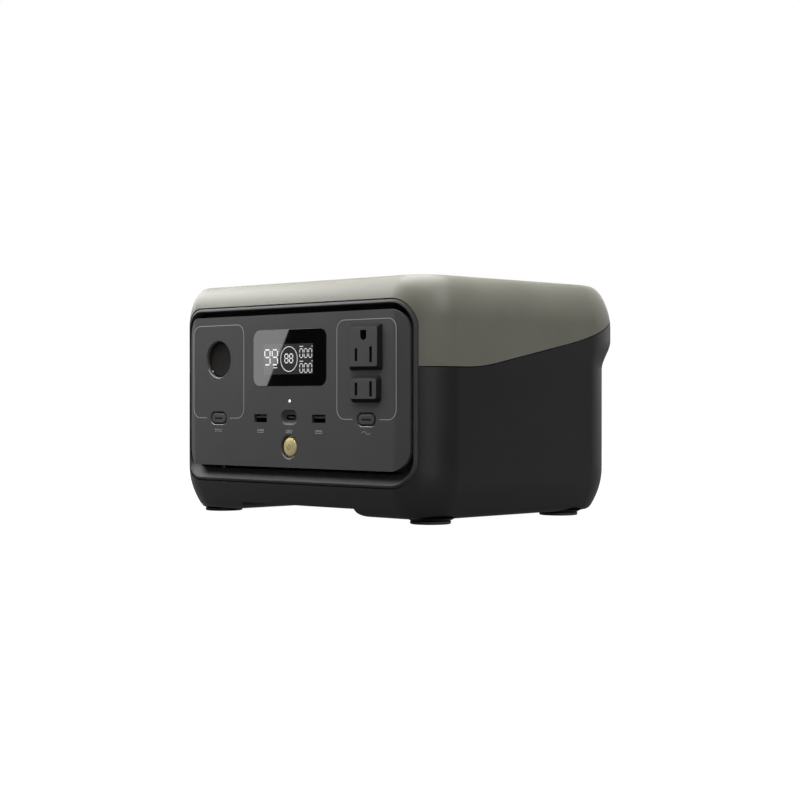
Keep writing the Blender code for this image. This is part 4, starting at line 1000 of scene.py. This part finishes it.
def buttons():
    face, flange = FRONT_Y + BUTTON_RECESS, FRONT_Y + PANEL_THICK + GAP
    stem_end = SWITCH_Y - TRAVEL - 0.0002
    for name, side in (("dc", -1), ("ac", 1)):
        def pill(inset, x=side * SIDE_X):
            return stadium(PILL["half_x"] - inset, PILL["half_z"] - inset, x, PILL["z"], 16)
        x = side * SIDE_X
        cap = pillow(f"{name}_button_cap", pill, face, flange + 0.0003, 0.0006)
        rim = prism("rim", stadium(PILL["half_x"] + 0.0010, PILL["half_z"] + 0.0010, x, PILL["z"], 10), "Y",
                    flange, flange + 0.0010)
        stem = rod("stem", (x, flange + 0.0005, PILL["z"]), stem_end, "Y", STEM_RADIUS)
        whole = grouped(f"{name}_button_cap", [cap, rim, stem])
        finish_piece(whole, LOOKS["panel_grey"], body=f"{name}_button", nodes=[f"{name}_button"])
        printed(f"{name}_button_mark", [[(x - 0.0040, PILL["z"]), (x + 0.0040, PILL["z"])]], 0.0010,
                EXTRA["print_dark"], body=f"{name}_button", face=face)

    r = POWER["radius"] - 0.0004
    dome = [(0.0, -0.0006), (0.35 * r, -0.00056), (0.6 * r, -0.0003), (0.8 * r, 0.0), (0.92 * r, 0.0003), (r, 0.0010)]
    back = flange + 0.0003 - face
    cap = turned("power_button_cap", dome + [(r, back), (0.0, back)], facing_front(0.0, face, POWER["z"]), 72)
    rim = rod("rim", (0.0, flange, POWER["z"]), flange + 0.0010, "Y", POWER["radius"] + 0.0010)
    stem = rod("stem", (0.0, flange + 0.0005, POWER["z"]), stem_end, "Y", STEM_RADIUS)
    whole = grouped("power_button_cap", [cap, rim, stem])
    finish_piece(whole, EXTRA["gold"], body="power_button", nodes=["power_button"])
    arc = [math.radians(125 + 290 * i / 24) for i in range(25)]
    ring = [(0.0015 * math.cos(a), POWER["z"] - 0.0002 + 0.0015 * math.sin(a)) for a in arc]
    bar = [(0.0, POWER["z"] + 0.0002), (0.0, POWER["z"] + 0.0018)]
    printed("power_button_sign", [ring, bar], 0.00034, EXTRA["gold_print"], body="power_button",
            face=face - 0.00056)


def feet():
    """Rubber discs with a rounded rim and a shallow ring pressed into the sole."""
    top, edge = FOOT_HIGH - GAP, 0.0007
    for place in ("front_left", "front_right", "rear_left", "rear_right"):
        low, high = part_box(f"foot_{place}")
        x, y = (low[0] + high[0]) / 2, (low[1] + high[1]) / 2
        r = FOOT_RADIUS
        profile = [(0.0, 0.0), (r * 0.62, 0.0), (r * 0.65, 0.0004), (r * 0.71, 0.0004), (r * 0.74, 0.0)]
        for angle in quarter(5):
            profile.append((r - edge + edge * math.sin(angle), edge * (1 - math.cos(angle))))
        profile += [(r, top - 0.0003), (r - 0.0003, top), (0.0, top)]
        obj = turned(f"rubber_foot_{place}", profile, Matrix.Translation((x, y, 0.0)), 72)
        finish_piece(obj, LOOKS["rubber"], nodes=[f"foot_{place}"])


def carried_nodes():
    """Gives every node of the frame that still shows its material."""
    slots = {part["node"]: part["material_slot"] for part in frame["record"]["subparts"]}
    for node, obj in frame["nodes"].items():
        look = EXTRA["port_steel"] if node.startswith(("usb_a_port", "usb_c_port")) else LOOKS[slots[node]]
        if obj.data.materials:
            for i in range(len(obj.data.materials)):
                obj.data.materials[i] = look
        else:
            obj.data.materials.append(look)


# ---------------------------------------------------------------- stage
def stage_material(name, colour, glow, camera_glow=None, glossy_glow=None):
    """A stage surface: diffuse, with its own glow, and others where the camera or a reflection sees it."""
    made = bpy.data.materials.new(name)
    made.use_nodes = True
    tree = made.node_tree
    surface = tree.nodes["Principled BSDF"]
    surface.inputs["Base Color"].default_value = (*colour, 1)
    surface.inputs["Roughness"].default_value = 0.9
    surface.inputs["Specular IOR Level"].default_value = 0.0
    surface.inputs["Emission Color"].default_value = (1, 1, 1, 1)
    surface.inputs["Emission Strength"].default_value = glow
    path = tree.nodes.new("ShaderNodeLightPath")
    strength = None
    for ray, value in (("Is Glossy Ray", glossy_glow), ("Is Camera Ray", camera_glow)):
        if value is None:
            continue
        pick = tree.nodes.new("ShaderNodeMapRange")
        pick.inputs["To Min"].default_value = glow
        pick.inputs["To Max"].default_value = value
        if strength:
            tree.links.new(strength, pick.inputs["To Min"])
        tree.links.new(path.outputs[ray], pick.inputs["Value"])
        strength = pick.outputs["Result"]
    if strength:
        tree.links.new(strength, surface.inputs["Emission Strength"])
    return made


def sheet_of(name, corners, look):
    mesh = bpy.data.meshes.new(name)
    mesh.from_pydata(corners, [], [tuple(range(len(corners)))])
    mesh.materials.append(look)
    obj = piece_of(mesh, name)
    return obj


def area_light(name, place, target, size_x, power, size_y):
    data = bpy.data.lights.new(name, "AREA")
    data.shape = "RECTANGLE"
    data.size = size_x
    data.size_y = size_y
    data.energy = power
    obj = bpy.data.objects.new(name, data)
    bpy.context.scene.collection.objects.link(obj)
    obj.location = place
    obj.rotation_euler = (Vector(target) - Vector(place)).to_track_quat("-Z", "Y").to_euler()
    return obj


def world():
    """White to the camera. To the object it is dark, with a few broad soft glows."""
    made = bpy.data.worlds.new("studio")
    made.use_nodes = True
    tree = made.node_tree
    back = tree.nodes["Background"]
    place = tree.nodes.new("ShaderNodeTexCoord")
    total = None
    for axis, edge, full, strength in SKY:
        toward = tree.nodes.new("ShaderNodeVectorMath")
        toward.operation = "DOT_PRODUCT"
        toward.inputs[1].default_value = Vector(axis).normalized()
        tree.links.new(place.outputs["Generated"], toward.inputs[0])
        glow = tree.nodes.new("ShaderNodeMapRange")
        glow.interpolation_type = "SMOOTHSTEP"
        for socket, value in (("From Min", edge), ("From Max", full), ("To Max", strength)):
            glow.inputs[socket].default_value = value
        tree.links.new(toward.outputs["Value"], glow.inputs["Value"])
        if total:
            added = tree.nodes.new("ShaderNodeMath")
            tree.links.new(total, added.inputs[0])
            tree.links.new(glow.outputs["Result"], added.inputs[1])
            total = added.outputs[0]
        else:
            total = glow.outputs["Result"]
    path = tree.nodes.new("ShaderNodeLightPath")
    pick = tree.nodes.new("ShaderNodeMapRange")
    pick.inputs["To Max"].default_value = 1.0
    tree.links.new(total, pick.inputs["To Min"])
    tree.links.new(path.outputs["Is Camera Ray"], pick.inputs["Value"])
    tree.links.new(pick.outputs["Result"], back.inputs["Strength"])
    back.inputs["Color"].default_value = (1, 1, 1, 1)
    bpy.context.scene.world = made


def glare_card():
    """A bright card out of view, whose slanted edge the display's glass reflects."""
    distance = 0.50
    camera = Vector(CAMERA_PLACE)
    share = distance / (FRONT_Y - camera.y)

    def reflected(x, z):
        return (x + (x - camera.x) * share, FRONT_Y - distance, z + (z - camera.z) * share)

    top, bottom = (0.0030, 0.1255), (-0.0246, 0.0790)
    corners = [reflected(*bottom), reflected(*top), reflected(top[0] - 0.075, top[1]),
               reflected(top[0] - 0.075, bottom[1])]
    card = sheet_of("glare_card", corners, stage_material("glare_card", (0.8, 0.8, 0.8), 2.75))
    card.visible_camera = False
    card.visible_diffuse = False
    card.visible_shadow = False


def studio():
    floor = stage_material("floor_white", (0.08, 0.08, 0.08), 0.0, 1.0, 0.14)
    half = 6.0
    corners = ((-half, -half), (half, -half), (half, half), (-half, half))
    sheet_of("floor", [(x, y, FLOOR_Z) for x, y in corners], floor)
    world()
    glare_card()
    for light in LIGHTS:
        area_light(*light)
    lens = bpy.data.cameras.new("camera")
    lens.lens = CAMERA_LENS
    camera = bpy.data.objects.new("camera", lens)
    bpy.context.scene.collection.objects.link(camera)
    camera.location = CAMERA_PLACE
    camera.rotation_euler = (math.radians(90), 0.0, math.radians(CAMERA_TURN))
    bpy.context.scene.camera = camera
    bpy.context.scene.view_settings.view_transform = "Standard"


studio()
carried_nodes()
shells()
bezel()
panel()
port_tongues()
side_frames()
pictograms()
display()
lamp()
sockets()
plug()
buttons()
feet()
